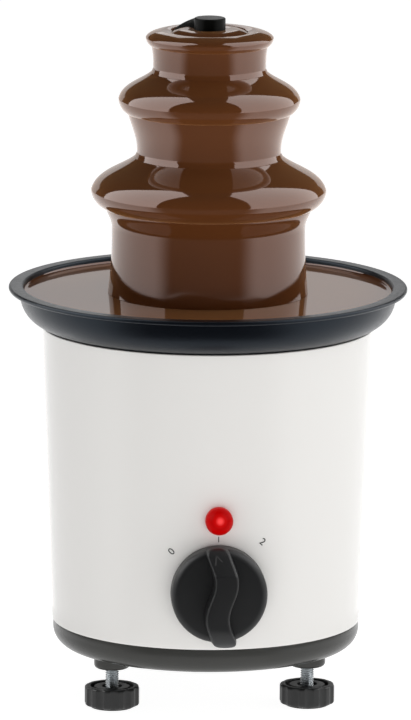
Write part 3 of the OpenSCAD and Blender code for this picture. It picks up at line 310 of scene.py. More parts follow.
# each: name, colour, its spread and cloud size, roughness and its spread, grain size, stretch and depth
finishes = {
    "black_plastic": makeFinish("satinBlackPlastic", (0.022, 0.023, 0.024), 0.25, 90, 0.34, 0.08, 2600, 1,
                                0.05),
    "pad_rubber": makeFinish("padRubber", (0.03, 0.03, 0.03), 0.3, 200, 0.75, 0.1, 1800, 1, 0.2),
    "zinc_steel": makeFinish("zincPlate", (0.56, 0.59, 0.61), 0.2, 300, 0.27, 0.16, 900, 0.3, 0.04,
                             Metallic=1),
    "brass": makeFinish("turnedBrass", (0.62, 0.44, 0.16), 0.15, 200, 0.28, 0.1, 900, 6, 0.05, Metallic=1),
    "white_enamel": makeFinish("whiteEnamel", (0.86, 0.845, 0.82), 0.02, 14, 0.13, 0.05, 420, 1, 0.012,
                               Specular_IOR_Level=0.3, Coat_Weight=0.1, Coat_Roughness=0.05),
    "bowl_coating": makeFinish("bowlCoating", (0.0016, 0.0018, 0.0036), 0.5, 420, 0.33, 0.12, 1700, 1, 0.12,
                               Specular_IOR_Level=0.3, Specular_Tint=(0.66, 0.82, 1, 1)),
    "silicone": makeFinish("silicone", (0.1, 0.1, 0.1), 0.15, 150, 0.6, 0.1, 1400, 1, 0.06),
    "motor_steel": makeFinish("motorSteel", (0.4, 0.42, 0.43), 0.2, 120, 0.36, 0.14, 700, 0.2, 0.05,
                              Metallic=1),
    "fibre_board": makeFinish("fibreBoard", (0.34, 0.26, 0.15), 0.3, 260, 0.6, 0.1, 1600, 0.2, 0.15),
    "copper_wire": makeFinish("copperWinding", (0.42, 0.15, 0.05), 0.25, 220, 0.32, 0.1, 300, 14, 0.4,
                              Metallic=0.8),
    "gear_nylon": makeFinish("gearNylon", (0.72, 0.66, 0.5), 0.1, 140, 0.42, 0.08, 1500, 1, 0.04),
    "magnet": makeFinish("sinteredMagnet", (0.06, 0.055, 0.05), 0.3, 240, 0.55, 0.1, 2200, 1, 0.15,
                         Metallic=0.4),
    "stainless": makeFinish("stainlessSteel", (0.6, 0.6, 0.59), 0.12, 90, 0.2, 0.12, 600, 0.12, 0.03,
                            Metallic=1),
    "heater_sheath": makeFinish("heaterSheath", (0.24, 0.21, 0.18), 0.4, 120, 0.45, 0.2, 900, 1, 0.08,
                                Metallic=1),
    "pale_plastic": makeFinish("palePlastic", (0.66, 0.62, 0.5), 0.1, 120, 0.45, 0.1, 1500, 1, 0.05),
    "wire_sleeve": makeFinish("wireSleeve", (0.32, 0.17, 0.06), 0.25, 90, 0.38, 0.08, 1200, 1, 0.03),
    "milk_chocolate": makeFinish("meltedChocolate", (0.115, 0.037, 0.011), 0.12, 26, 0.055, 0.03, 60, 1,
                                 0.006, IOR=1.72, Specular_Tint=(1, 0.8, 0.75, 1), Sheen_Weight=0.42,
                                 Sheen_Roughness=0.4, Sheen_Tint=(1, 0.5, 0.2, 1)),
    "red_lens": makeFinish("redLens", (0.085, 0.0004, 0.0006), 0.1, 300, 0.3, 0.04, 900, 1, 0.01,
                           Specular_IOR_Level=0.03),
}
for part in frame["record"]["subparts"]:
    node = nodes[part["node"]]
    node.data.materials.clear()
    node.data.materials.append(finishes[part["material_slot"]])
print("finishes made:", len(finishes))


# Casing: a thin cone, both edges eased, with holes for switch, lamp and gland
casing = {"lowR": 69, "highR": 74.2, "lowZ": 35.2, "highZ": 168.8, "wall": 1.8, "edge": 0.6, "innerEdge": 0.1,
          "turns": 224, "row": 3, "cutDepth": 12, "switchHole": 5.1, "switchZ": 62, "lampHole": 4.6,
          "lampZ": 94.4, "glandHole": 6.1, "glandZ": 53.2}


# radius of the casing's outer face at a height
def casingR(z):
    c = casing
    return c["lowR"] + (c["highR"] - c["lowR"]) * (z - c["lowZ"]) / (c["highZ"] - c["lowZ"])


def buildCasing(c):
    line = eased([(c["lowR"] - c["wall"], c["lowZ"], c["innerEdge"]), (c["lowR"], c["lowZ"], c["edge"]),
                  (c["highR"], c["highZ"], c["edge"]), (c["highR"] - c["wall"], c["highZ"], c["innerEdge"])])
    wall = revolve(divide(np.concatenate([line, line[:1]]), c["row"])[:-1], c["turns"])
    deep = c["cutDepth"]
    cuts = [toFront(barrel(c["switchHole"], 0, 2 * deep), -casingR(c["switchZ"]) + deep, c["switchZ"]),
            toFront(barrel(c["lampHole"], 0, 2 * deep), -casingR(c["lampZ"]) + deep, c["lampZ"]),
            toBack(barrel(c["glandHole"], 0, 2 * deep), casingR(c["glandZ"]) - deep, c["glandZ"])]
    makePiece("casingShell", carve("casingShell", [wall], cuts), finishes["white_enamel"], "base",
              ["casing"])


buildCasing(casing)
print("casing made")

# Base: a shallow pan with a rounded corner, foot bosses, bolt recesses and cooling slots
base = {"outerR": 68.6, "lowZ": 23.4, "highZ": 35.2, "corner": 8.4, "rimEdge": 0.5, "wall": 2.4,
        "spigotR": 67.1, "spigotZ": 39.8, "bossR": 8.1, "bossLow": 17.8, "bossHigh": 32.8, "bossBore": 4,
        "bossEdge": 2.2, "feetR": 50.5, "feetAngles": (-150, -30, 90), "boltR": 52,
        "boltAngles": (0, 120, 240), "boltBoss": 5.6, "boltSink": 0.4, "boltRise": 8, "boltEdge": 0.3,
        "boltHole": 2.1, "headHole": 4.0, "headDepth": 4.5, "slots": 12, "slotWide": 3, "slotFrom": 16,
        "slotTo": 32, "cutPast": 1, "turns": 224}


def around(radius, angles):
    return [(radius * math.cos(math.radians(a)), radius * math.sin(math.radians(a))) for a in angles]


# pan: one profile turned about the axis, with bosses joined to it and holes and slots cut out
def buildBase(b):
    floor, inner = b["lowZ"] + b["wall"], b["spigotR"] - b["wall"]
    innerRound, edge, past = b["corner"] - b["wall"], b["rimEdge"], b["cutPast"]
    outside = arc((b["outerR"] - b["corner"], b["lowZ"] + b["corner"]), b["corner"], -90, 0, 24)
    step = [(b["outerR"], b["highZ"] - edge), (b["outerR"] - 0.3 * edge, b["highZ"] - 0.3 * edge),
            (b["outerR"] - edge, b["highZ"]), (b["spigotR"], b["highZ"]), (b["spigotR"], b["spigotZ"]),
            (inner, b["spigotZ"])]
    inside = arc((inner - innerRound, floor + innerRound), innerRound, 0, -90, 12)
    line = np.concatenate([[(0, b["lowZ"])], outside, step, inside, [(0, floor)]])
    pan = revolve(line, b["turns"], closed=False)
    feet, bolts = around(b["feetR"], b["feetAngles"]), around(b["boltR"], b["boltAngles"])
    solids = [pan] + [barrel(b["bossR"], b["bossLow"], b["bossHigh"], b["bossEdge"], center=p) for p in feet]
    boltLow, boltTop = b["lowZ"] + b["boltSink"], floor + b["boltRise"]
    solids += [barrel(b["boltBoss"], boltLow, boltTop, b["boltEdge"], center=p) for p in bolts]
    cuts = [barrel(b["bossBore"], b["bossLow"] - past, b["bossHigh"] + past, center=p) for p in feet]
    cuts += [barrel(b["boltHole"], b["lowZ"] - past, boltTop + past, center=p) for p in bolts]
    cuts += [barrel(b["headHole"], b["lowZ"] - past, b["lowZ"] + b["headDepth"], center=p) for p in bolts]
    cuts += [block((b["slotFrom"], -b["slotWide"] / 2, b["lowZ"] - past),
                   (b["slotTo"], b["slotWide"] / 2, floor + past),
                   (i + 0.5) * 360 / b["slots"]) for i in range(b["slots"])]
    glossBlack = makeFinish("glossBlackBase", (0.046, 0.046, 0.043), 0.25, 40, 0.24, 0.08, 1800, 1, 0.03,
                            Specular_IOR_Level=0.26)
    makePiece("basePan", carve("basePan", solids, cuts), glossBlack, "base", ["base_pan"],
              sharp=30)


buildBase(base)
print("base made")

# Bowl: a pressed dish with a rolled rim, a sump inside the casing and a hub for the shaft
bowl = {"rimR": 89, "rimZ": 186.5, "rimThick": 2, "neck": 0.9, "wallR": 84, "wall": 1.6, "curve": 14,
        "curveZ": 182.8, "shelfZ": 168.8, "sumpR": 66, "sumpZ": 150, "bevel": 5, "hubR": 8, "hubLow": 140,
        "hubHigh": 156, "bore": 5, "turns": 240, "sink": 0.8, "cutPast": 1,
        "peg": {"ring": 25, "angles": (30, 150, 270), "r": 2, "high": 156, "edge": 0.4},
        "bosses": ({"ring": 52, "angles": (0, 120, 240), "r": 4.5, "low": 144, "edge": 0.3, "bore": 2.05,
                    "cover": 0.5},
                   {"ring": 33.2, "angles": (60, 180, 300), "r": 3, "low": 143, "edge": 0.2, "bore": 1.55,
                    "cover": 1})}


# dish: one closed profile turned about the axis, with pegs and bosses joined to it and bores cut out
def buildBowl(b):
    middle = (b["wallR"] - b["curve"], b["curveZ"])
    floor, inner, roll = b["sumpZ"] + b["wall"], b["sumpR"] - b["wall"], b["rimThick"] / 2
    under, neck = b["rimZ"] - b["rimThick"], b["neck"]
    line = np.concatenate([
        [(b["bore"], b["hubLow"]), (b["hubR"], b["hubLow"]), (b["hubR"], b["sumpZ"]),
         (b["sumpR"] - b["bevel"], b["sumpZ"]), (b["sumpR"], b["sumpZ"] + b["bevel"]),
         (b["sumpR"], b["shelfZ"])],
        arc(middle, b["curve"], -90, 0, 28),
        cubic((b["wallR"], under - neck), (b["wallR"], under - neck / 3), (b["wallR"] + neck / 3, under),
              (b["wallR"] + neck, under), 8),
        arc((b["rimR"] - roll, b["rimZ"] - roll), roll, -90, 90, 20),
        arc((b["wallR"] - b["wall"] + roll, b["rimZ"] - roll), roll, 90, 180, 12),
        arc(middle, b["curve"] - b["wall"], 0, -90, 24),
        [(inner, b["shelfZ"] + b["wall"]), (inner, floor + b["bevel"]), (inner - b["bevel"], floor),
         (b["hubR"], floor), (b["hubR"], b["hubHigh"]), (b["bore"], b["hubHigh"])]])
    peg = b["peg"]
    solids = [revolve(line, b["turns"])]
    solids += [barrel(peg["r"], floor - b["sink"], peg["high"], peg["edge"], center=p)
               for p in around(peg["ring"], peg["angles"])]
    cuts = []
    for boss in b["bosses"]:
        for p in around(boss["ring"], boss["angles"]):
            solids.append(barrel(boss["r"], boss["low"], b["sumpZ"] + b["sink"], boss["edge"], center=p))
            start, end = boss["low"] - b["cutPast"], b["sumpZ"] - boss["cover"]
            cuts.append(barrel(boss["bore"], start, end, center=p))
    makePiece("coatedBowl", carve("coatedBowl", solids, cuts), finishes["bowl_coating"], "base",
              ["bowl"], sharp=34)


buildBowl(bowl)
print("bowl made")

# Levelling feet: a fluted foot, a rubber pad and a screw rod each
foot = {"r": 12.25, "lowZ": 1, "highZ": 9.8, "bevel": 1.1, "padR": 9.75, "padSeat": 2.6, "play": 0.4,
        "flutes": 12, "fluteR": 3.4, "fluteDepth": 0.8, "grooveIn": 7.95, "grooveOut": 9.65, "groove": 1.6,
        "hubSink": 0.3, "hole": 4.5, "bore": 3.05, "rimEdge": 0.4, "hubEdge": 0.3, "padEdge": 0.6,
        "padTopEdge": 0.3, "padSides": 72, "columns": 24, "row": 1.2}
rod = {"r": 3, "thread": 0.5, "flank": 1.5, "pitch": 1, "lowZ": 2.9, "highZ": 33.4, "taper": 0.8,
       "point": 0.5, "sides": 40, "steps": 12}


# a foot's rim: scoops of radius fluteR cut to fluteDepth, evenly round the edge
def fluteSwell(r, z, a):
    f = foot
    part = 2 * np.pi / f["flutes"]
    off = (a + part / 2) % part - part / 2
    far = f["r"] + f["fluteR"] - f["fluteDepth"]
    reach = far * np.cos(off) - np.sqrt(np.maximum(f["fluteR"] ** 2 - (far * np.sin(off)) ** 2, 0))
    scoop = np.where(np.abs(far * np.sin(off)) < f["fluteR"], np.minimum(reach, f["r"]), f["r"]) - f["r"]
    return scoop * np.clip((r - f["r"] + f["bevel"]) / f["bevel"], 0, 1)


# screw thread: the radius is a clipped triangle wave of turn angle less height over pitch; the ends taper
def buildRod(center):
    s = rod
    a = np.linspace(0, 2 * np.pi, s["sides"], endpoint=False)[None, :]
    z = np.linspace(s["lowZ"], s["highZ"], int((s["highZ"] - s["lowZ"]) / s["pitch"] * s["steps"]))[:, None]
    phase = (a / (2 * np.pi) - z / s["pitch"]) % 1
    ends = np.clip(np.minimum(z - s["lowZ"], s["highZ"] - z) / s["taper"], 0, 1)
    wave = np.clip(np.abs(2 * phase - 1) * s["flank"] - (s["flank"] - 1) / 2, 0, 1)
    r = s["r"] - s["thread"] * (1 - wave) * ends - s["point"] * (1 - ends)
    points = np.stack(np.broadcast_arrays(center[0] + r * np.cos(a), center[1] + r * np.sin(a), z), -1)
    return closedRows(points)


# foot: a profile with a groove and a hub, turned about its screw, with the flutes in its rim
def buildFeet(f):
    footFinish = makeFinish("footPlastic", (0.013, 0.0135, 0.0135), 0.3, 160, 0.4, 0.1, 2200, 1, 0.1)
    rim, cup, low = f["r"] - f["bevel"], f["padR"] + f["play"], f["highZ"] - f["groove"]
    outer, inner = f["rimEdge"], f["hubEdge"]
    hubZ = f["highZ"] - f["hubSink"] - inner
    line = divide(np.concatenate([
        [(f["bore"], f["padSeat"]), (cup, f["padSeat"]), (cup, f["lowZ"]), (rim, f["lowZ"])],
        arc((rim, f["lowZ"] + f["bevel"]), f["bevel"], -90, 0, 6),
        arc((rim, f["highZ"] - f["bevel"]), f["bevel"], 0, 90, 6),
        arc((f["grooveOut"] + outer, f["highZ"] - outer), outer, 90, 180, 4),
        [(f["grooveOut"], low), (f["grooveIn"], low)],
        arc((f["grooveIn"] - inner, hubZ), inner, 0, 90, 4),
        arc((f["hole"] + inner, hubZ), inner, 90, 180, 4),
        [(f["hole"], low), (f["bore"], low)]]), f["row"])
    padLine = eased([(0, 0, 0), (f["padR"], 0, f["padEdge"]), (f["padR"], f["padSeat"], f["padTopEdge"]),
                     (0, f["padSeat"], 0)])
    for side, p in zip(("left", "right", "rear"), around(base["feetR"], base["feetAngles"])):
        fluted = revolve(line, f["flutes"] * f["columns"], p, swell=fluteSwell)
        makePiece(f"flutedFoot.{side}", [fluted], footFinish, f"foot_{side}",
                  [f"foot_knob_{side}"])
        makePiece(f"footPad.{side}", [revolve(padLine, f["padSides"], p, closed=False)],
                  finishes["pad_rubber"], f"pad_{side}", [f"foot_pad_{side}"])
        makePiece(f"screwRod.{side}", [buildRod(p)], finishes["zinc_steel"], f"foot_{side}",
                  [f"foot_rod_{side}"], sharp=70)


buildFeet(foot)
print("feet made")

# Chocolate: films over the tiers that fall as curtains, and the pool in the bowl; points are (radius, height)
flow = {"film": 1.6, "gap": 0.1, "drip": 1.5, "tierWall": 1.2, "turns": 256, "sharp": 50,
        "cupNeck": (21.2, 301.7), "cupLip": (28.4, 298.6), "cupEdge": (26, 295), "cupWaist": (25.1, 285.4),
        "cupBend": ((0.55, 0.24), (0.12, 0.5)), "cupLean": 0.5,
        "upperNeck": (25.6, 283.2), "upperLip": (40.45, 271), "upperEdge": (36.3, 264.8),
        "upperWaist": (32.1, 247.6), "upperLean": 0.5,
        "lowerNeck": (32.9, 245), "lowerLip": (52.5, 229.9), "lowerEdge": (46.2, 222.4),
        "lowerWaist": (43.2, 213), "lowerFoot": (44.6, 183.6), "lowerLean": 0.11,
        "tierBend": ((0.35, 0.4), (0.12, 0.52)), "underBend": (0.55, 0.35), "fallPull": (1 / 12, 0.35),
        "waistPull": 0.4, "flarePull": 0.35, "footPull": 0.4, "landing": (0.3, -0.25),
        "weirR": 17.9, "weirZ": 299.8, "weirFilm": 0.4, "weirDepth": 3, "crestIn": 0.95, "crestUp": 1.2,
        "crestUnder": 1, "crestBend": (0.4, 1.6), "unevenness": 0.05, "calmR": 20,
        "swells": ((2, 0.05, 1), (5, -0.11, 0.6), (9, 0.17, 0.4))}


# a tier's dome, d below the chocolate's face: a cubic from neck to lip, bent at both ends by shares of it
def domeLine(neck, lip, bend, d, steps=36):
    a, b = np.array([neck[0], neck[1] - d]), np.array([lip[0] - d, lip[1]])
    s = b - a
    return cubic(a, a + s * bend[0], b - s * bend[1], b, steps)


# the film falls from edge to waist, upright there, then flares to its foot, leaning out by lean
def fallLine(lip, edge, waist, foot, lean):
    f = flow
    lip, edge, waist, foot = (np.array(p, float) for p in (lip, edge, waist, foot))
    s, drop, sink = edge - lip, edge[1] - waist[1], waist[1] - foot[1]
    down, aside = f["underBend"]
    under = cubic(lip, lip + s * (0, down), edge - s * (aside, 0), edge, 14)
    fall = cubic(edge, edge - drop * np.array(f["fallPull"]), waist + (0, drop * f["waistPull"]), waist, 26)
    landing = foot + np.array([-lean, 1]) * f["footPull"] * sink
    flare = cubic(waist, waist - (0, f["flarePull"] * sink), landing, foot, 18)
    return under, np.concatenate([fall, flare[1:]])


# slow swells of a liquid that runs a little unevenly: sines with so many waves a turn, shifted by height
def flowSwell(r, z, a):
    slow = sum(share * np.sin(waves * a + rise * z) for waves, rise, share in flow["swells"])
    return flow["unevenness"] * slow * np.clip((r - flow["calmR"]) / flow["calmR"], 0, 1)


# one film turned about the axis: over the dome, under its lip, down as a curtain and back up behind it
def buildFlow(name, start, neck, lip, bend, edge, waist, foot, lean, stands):
    f = flow
    under, fall = fallLine(lip, edge, waist, foot, lean)
    edgeR = lip[0] - f["film"]
    low = lip[1] - f["drip"] - f["gap"]
    back = fall[::-1] - (f["film"], 0)
    line = np.concatenate([
        start, domeLine(neck, lip, bend, 0), under[1:], fall[1:], back,
        [(edgeR - f["tierWall"] - f["gap"], low), (edgeR + f["gap"], low)],
        domeLine(neck, lip, bend, f["film"] - f["gap"])[::-1]])
    makePiece(name, [revolve(line[::-1], f["turns"], swell=flowSwell)], finishes["milk_chocolate"], "tower",
              stands, f["sharp"])


# the crest of the top flow runs from a lip over the lifted chocolate, across the weir, to the neck
def buildFlows(f):
    film, gap, weir, top = f["film"], f["gap"], f["weirR"], f["weirZ"]
    cup, upper, lower = (np.array(f[key]) for key in ("cupNeck", "upperNeck", "lowerNeck"))
    skin, low, (near, far) = weir - f["weirFilm"], top - f["weirDepth"], f["crestBend"]
    crest = cubic((weir - f["crestIn"], top + f["crestUp"]), (weir + near, top + far), (weir + far, cup[1]),
                  cup - (near, 0), 16)
    start = np.concatenate([[(cup[0], top + gap), (weir, top + gap), (weir, low), (skin, low),
                             (skin, top + f["crestUnder"])], crest])
    buildFlow("topFlow", start, cup, f["cupLip"], f["cupBend"], f["cupEdge"], f["cupWaist"],
              upper + f["landing"], f["cupLean"], ["top_chocolate"])
    start = np.array([upper - (film, film - gap), upper - (film, 0)])
    buildFlow("upperFlow", start, upper, f["upperLip"], f["tierBend"], f["upperEdge"], f["upperWaist"],
              lower + f["landing"], f["upperLean"], ["upper_chocolate"])
    start = np.array([lower - (film, film - gap), lower - (film, 0)])
    buildFlow("lowerFlow", start, lower, f["lowerLip"], f["tierBend"], f["lowerEdge"], f["lowerWaist"],
              f["lowerFoot"], f["lowerLean"], ["lower_chocolate"])


buildFlows(flow)

pool = {"z": 183.5, "holeR": 30.4, "wallR": 82.3, "curveR": 70, "curveZ": 182.8, "round": 12.3, "sumpR": 64.3,
        "shelfZ": 170.5, "floorZ": 151.7, "bevel": 5, "film": 0.8, "filmT": 0.12, "creep": 2.6,
        "creepBend": (0.2, 0.4, 0.6), "creepWaves": ((0.35, 1, 0.2), (0.2, 3, 1), (0.1, 11, 0)), "faceR": 76,
        "faceRows": 24, "holeEdge": (0.2, 0.8), "turns": 240}


# the pool's face creeps up the bowl's wall as a thin film, and dips to the well round the tower
def buildPool(p):
    top, out, hole = p["z"], p["wallR"], p["holeR"]
    wall = arc((p["curveR"], p["curveZ"]), p["round"], -90, 0, 20)
    near, high, far = p["creepBend"]
    creep = cubic((out - p["filmT"], top + p["film"]), (out - near, top + high), (out - far, top),
                  (out - p["creep"], top), 14)
    face = np.linspace(p["faceR"], hole + p["holeEdge"][1], p["faceRows"])
    line = np.concatenate([
        [(hole, p["floorZ"]), (p["sumpR"] - p["bevel"], p["floorZ"]), (p["sumpR"], p["floorZ"] + p["bevel"]),
         (p["sumpR"], p["shelfZ"])], wall, [(out, top + p["film"])], creep,
        np.stack([face, np.full(len(face), top)], -1),
        [(hole + p["holeEdge"][0], top - p["holeEdge"][0]), (hole, top - p["holeEdge"][1])]])

    # the film reaches higher on some sides, by a sum of three sines
    def climb(r, z, a):
        share = np.where(z > top + 0.01, (z - top) / p["film"], 0)
        return share * sum(high * np.sin(waves * a + start) for high, waves, start in p["creepWaves"])

    makePiece("chocolatePool", [revolve(line, p["turns"], lift=climb)], finishes["milk_chocolate"], "base",
              ["chocolate_pool"], flow["sharp"])


buildPool(pool)

lifted = {"coreR": 7.02, "play": 0.55, "crown": (11, 302.4), "edgeDrop": 1.9, "coreDrop": 0.2, "depth": 3.5,
          "edgeBend": (1.6, 1.1), "coreBend": (1.4, 0.3), "crownOut": 2.2, "crownIn": 1.2, "turns": 96}


# chocolate that the screw has lifted: a collar round the core, level at its crown, sinking to both its edges
def buildLifted(c):
    core, edge, crown = c["coreR"], flow["weirR"] - c["play"], np.array(c["crown"])
    high, low = crown[1], crown[1] - c["depth"]
    outer = cubic((edge, high - c["edgeDrop"]), (edge - c["edgeBend"][0], high - c["edgeBend"][1]),
                  crown + (c["crownOut"], 0), crown, 12)
    inner = cubic(crown, crown - (c["crownIn"], 0), (core + c["coreBend"][0], high - c["coreBend"][1]),
                  (core, high - c["coreDrop"]), 12)
    line = np.concatenate([[(core, low), (edge, low)], outer, inner[1:]])
    makePiece("liftedChocolate", [revolve(line, c["turns"])], finishes["milk_chocolate"], "auger",
              sharp=flow["sharp"])


buildLifted(lifted)
print("chocolate made")

# Auger: a round core with a bevelled top and a left-hand flight that thins towards its edge
auger = {"coreR": 7, "lowZ": 157, "highZ": 307.4, "bevel": 0.7, "bore": 3.05, "boreHigh": 188,
         "flightR": 16.8, "rootT": 3, "rootSink": 0.15, "tipT": 1.8, "tipEdge": 0.5, "pitch": 28,
         "endAngle": 105, "turnsDone": 5.1667, "steps": 330, "top": 305.9, "sides": 96}


# flight: an eased four-cornered section carried down a helix; its angle grows as it sinks
def buildAuger(g):
    blackCap = makeFinish("augerPlastic", (0.003, 0.0033, 0.0027), 0.3, 140, 0.36, 0.1, 2400, 1, 0.08,
                          Specular_IOR_Level=0.05)
    line = np.concatenate([
        [(0, g["boreHigh"]), (g["bore"], g["boreHigh"]), (g["bore"], g["lowZ"]), (g["coreR"], g["lowZ"])],
        arc((g["coreR"] - g["bevel"], g["highZ"] - g["bevel"]), g["bevel"], 0, 90, 6), [(0, g["highZ"])]])
    makePiece("augerCore", [revolve(line, g["sides"], closed=False)], blackCap, "auger",
              ["auger_core"])
    thin, root, edge = (g["rootT"] - g["tipT"]) / 2, g["coreR"] - g["rootSink"], g["tipEdge"]
    section = eased([(root, 0, 0), (g["flightR"], thin, edge), (g["flightR"], g["rootT"] - thin, edge),
                     (root, g["rootT"], 0)], 4)
    down = np.linspace(g["turnsDone"], 0, g["steps"])[:, None]
    a = np.radians(g["endAngle"] + 360 * down)
    r = np.broadcast_to(section[None, :, 0], (g["steps"], len(section)))
    z = g["top"] - g["rootT"] - down * g["pitch"] + section[None, :, 1]
    points = np.stack([r * np.cos(a), r * np.sin(a), z], -1)
    makePiece("augerFlight", [closedRows(points)], blackCap, "auger", ["auger_flight"])


buildAuger(auger)
print("auger made")

# Control knob: a disc with a curved grip across it, a pointer mark, and numerals on the casing
knob = {"backY": -71.57, "z": 62, "r": 21.25, "thick": 9.6, "edge": 3.2, "backEdge": 0.3, "recessR": 10.1,
        "recess": 3.2, "bore": 3.05, "boreCap": 0.6, "turns": 200, "gripHigh": 18, "gripUp": 21.65,
        "gripDown": 23.05, "gripWide": 5.9, "gripSlim": 5.2, "gripEdge": 1.3, "gripSink": 0.5,
        "gripRows": 121, "offset": 0.6, "swing": 2, "wave": 32, "waveShift": 1, "slopeFrom": 10.6,
        "slope": 32, "tailFrom": -13, "tailDrop": 6.5, "endRound": 3.2, "endDrop": 0.5, "stroke": 0.7,
        "strokeDepth": (-0.2, 0.04), "arrow": ((-2.5, 15.2), (-1.9, 19.2), (0.6, 16.6))}


# height of the grip's face along its length: level, then a slope to the upper end and a curve to the lower
def gripHeight(k, b):
    up = np.maximum(b - k["slopeFrom"], 0) * math.tan(math.radians(k["slope"]))
    down = np.maximum(k["tailFrom"] - b, 0) / (k["gripDown"] + k["tailFrom"])
    return k["gripHigh"] - up - k["tailDrop"] * down ** 2


# grip: a cross-section with drawn-in walls and round edges, carried along a sine; both its ends are rounded
def gripShape(k):
    b = np.linspace(-k["gripDown"], k["gripUp"], k["gripRows"])
    inside = np.clip(np.minimum(b + k["gripDown"], k["gripUp"] - b), 0, k["endRound"])
    narrow = k["endRound"] - np.sqrt(np.maximum(k["endRound"] ** 2 - (k["endRound"] - inside) ** 2, 0))
    high = gripHeight(k, b) - narrow * k["endDrop"]
    low, e = k["thick"] - k["edge"] - k["gripSink"], k["gripEdge"]
    wide, slim = k["gripWide"] - narrow, k["gripSlim"] - narrow
    side = np.linspace(0, 1, 6)[None, :]
    bend = np.radians(np.linspace(0, 90, 9))[None, :]
    wall = np.stack([-(wide[:, None] + (slim - wide)[:, None] * side),
                     low + (high - e - low)[:, None] * side], -1)
    edge = np.stack([-slim[:, None] + e * (1 - np.cos(bend)), (high - e)[:, None] + e * np.sin(bend)], -1)
    half = np.concatenate([wall, edge[:, 1:]], 1)
    ring = np.concatenate([half, half[:, ::-1] * (-1, 1)], 1)
    middle = k["offset"] + k["swing"] * np.sin(2 * np.pi * (b + k["waveShift"]) / k["wave"])
    rows = np.stack(np.broadcast_arrays(middle[:, None] + ring[..., 0], b[:, None], ring[..., 1]), -1)
    return closedRows(rows)


# one stroke of the pointer, a thin bar that follows the grip's slope from one point to another
def strokeShape(k, start, end):
    t = np.linspace(0, 1, 9)[:, None]
    x, b = (start[i] + (end[i] - start[i]) * t for i in (0, 1))
    across = np.array([-1, -1, 1, 1]) * k["stroke"] / 2
    rise = np.array(k["strokeDepth"])[[0, 1, 1, 0]]
    rows = np.stack(np.broadcast_arrays(x + across, b, gripHeight(k, b) + rise), -1)
    return closedRows(rows)


def buildKnob(k):
    knobFinish = makeFinish("knobPlastic", (0.007, 0.0073, 0.008), 0.25, 60, 0.46, 0.06, 3200, 1, 0.1,
                            Specular_IOR_Level=0.42)
    cap = k["thick"] - k["boreCap"]
    line = np.concatenate([
        [(0, cap), (k["bore"], cap), (k["bore"], k["recess"]), (k["recessR"], k["recess"]), (k["recessR"], 0),
         (k["r"] - k["backEdge"], 0), (k["r"], k["backEdge"])],
        arc((k["r"] - k["edge"], k["thick"] - k["edge"]), k["edge"], 0, 90, 10),
        [(0, k["thick"])]])
    disc = toFront(revolve(line, k["turns"], closed=False), k["backY"], k["z"])
    grip = toFront(gripShape(k), k["backY"], k["z"])
    makePiece("dialKnob", [disc, grip], knobFinish, "knob", ["control_knob"], sharp=45)
    left, tip, right = k["arrow"]
    strokes = [toFront(strokeShape(k, a, tip), k["backY"], k["z"]) for a in (left, right)]
    makePiece("knobPointer", strokes, finishes["pad_rubber"], "knob")


buildKnob(knob)

# each mark: its text, its angle round the knob, its distance and its share of the size
numerals = {"size": 4.6, "thick": 0.05, "lift": 0.03,
            "marks": (("0", -49.6, 27.3, 1), ("1", 0, 23.5, 0.8), ("2", 42.4, 29.5, 1))}


# flat text bent onto the casing: x runs round the cone, y up it, turned to point at the knob's axis
def buildNumerals(n):
    ink = makeFinish("printInk", (0.02, 0.02, 0.02), 0.2, 300, 0.45, 0.1, 2000, 1, 0.03)
    for text, angle, reach, share in n["marks"]:
        letters = bpy.data.curves.new("letters", "FONT")
        letters.body, letters.size, letters.extrude = text, n["size"] * share, n["thick"]
        letters.align_x, letters.align_y = "CENTER", "CENTER"
        flat = bpy.data.objects.new("letters", letters)
        scene.collection.objects.link(flat)
        mesh = bpy.data.meshes.new_from_object(flat.evaluated_get(bpy.context.evaluated_depsgraph_get()))
        bpy.data.objects.remove(flat)
        points = np.zeros(len(mesh.vertices) * 3)
        mesh.vertices.foreach_get("co", points)
        points = points.reshape(-1, 3)
        c, s = math.cos(math.radians(angle)), math.sin(math.radians(angle))
        x = points[:, 0] * c + points[:, 1] * s + reach * s
        z = knob["z"] - points[:, 0] * s + points[:, 1] * c + reach * c
        r = casingR(z) + n["lift"] + n["thick"] + points[:, 2]
        turn = x / casingR(z)
        mesh.vertices.foreach_set("co", (np.stack([r * np.sin(turn), -r * np.cos(turn), z], -1) * mm).ravel())
        mesh.update()
        makePiece(f"numeral.{text}", mesh, ink, "base")


buildNumerals(numerals)
print("controls made")

# Lamp: a domed red lens, brightest in its middle where the light stands behind it
lamp = {"z": 94.4, "y": -71.642, "r": 6.1, "rim": 3.4, "dome": 5, "neck": 4.5, "depth": 6, "edge": 0.4,
        "turns": 96, "glow": 1.0, "glowRise": 1.2,
        "glowSteps": ((0, (1, 0.085, 0.085, 1)), (0.14, (0.9, 0.06, 0.06, 1)), (0.34, (0.5, 0.003, 0.003, 1)),
                      (0.6, (0.36, 0, 0, 1)), (0.85, (0.42, 0, 0, 1)), (1, (0.34, 0, 0, 1)))}


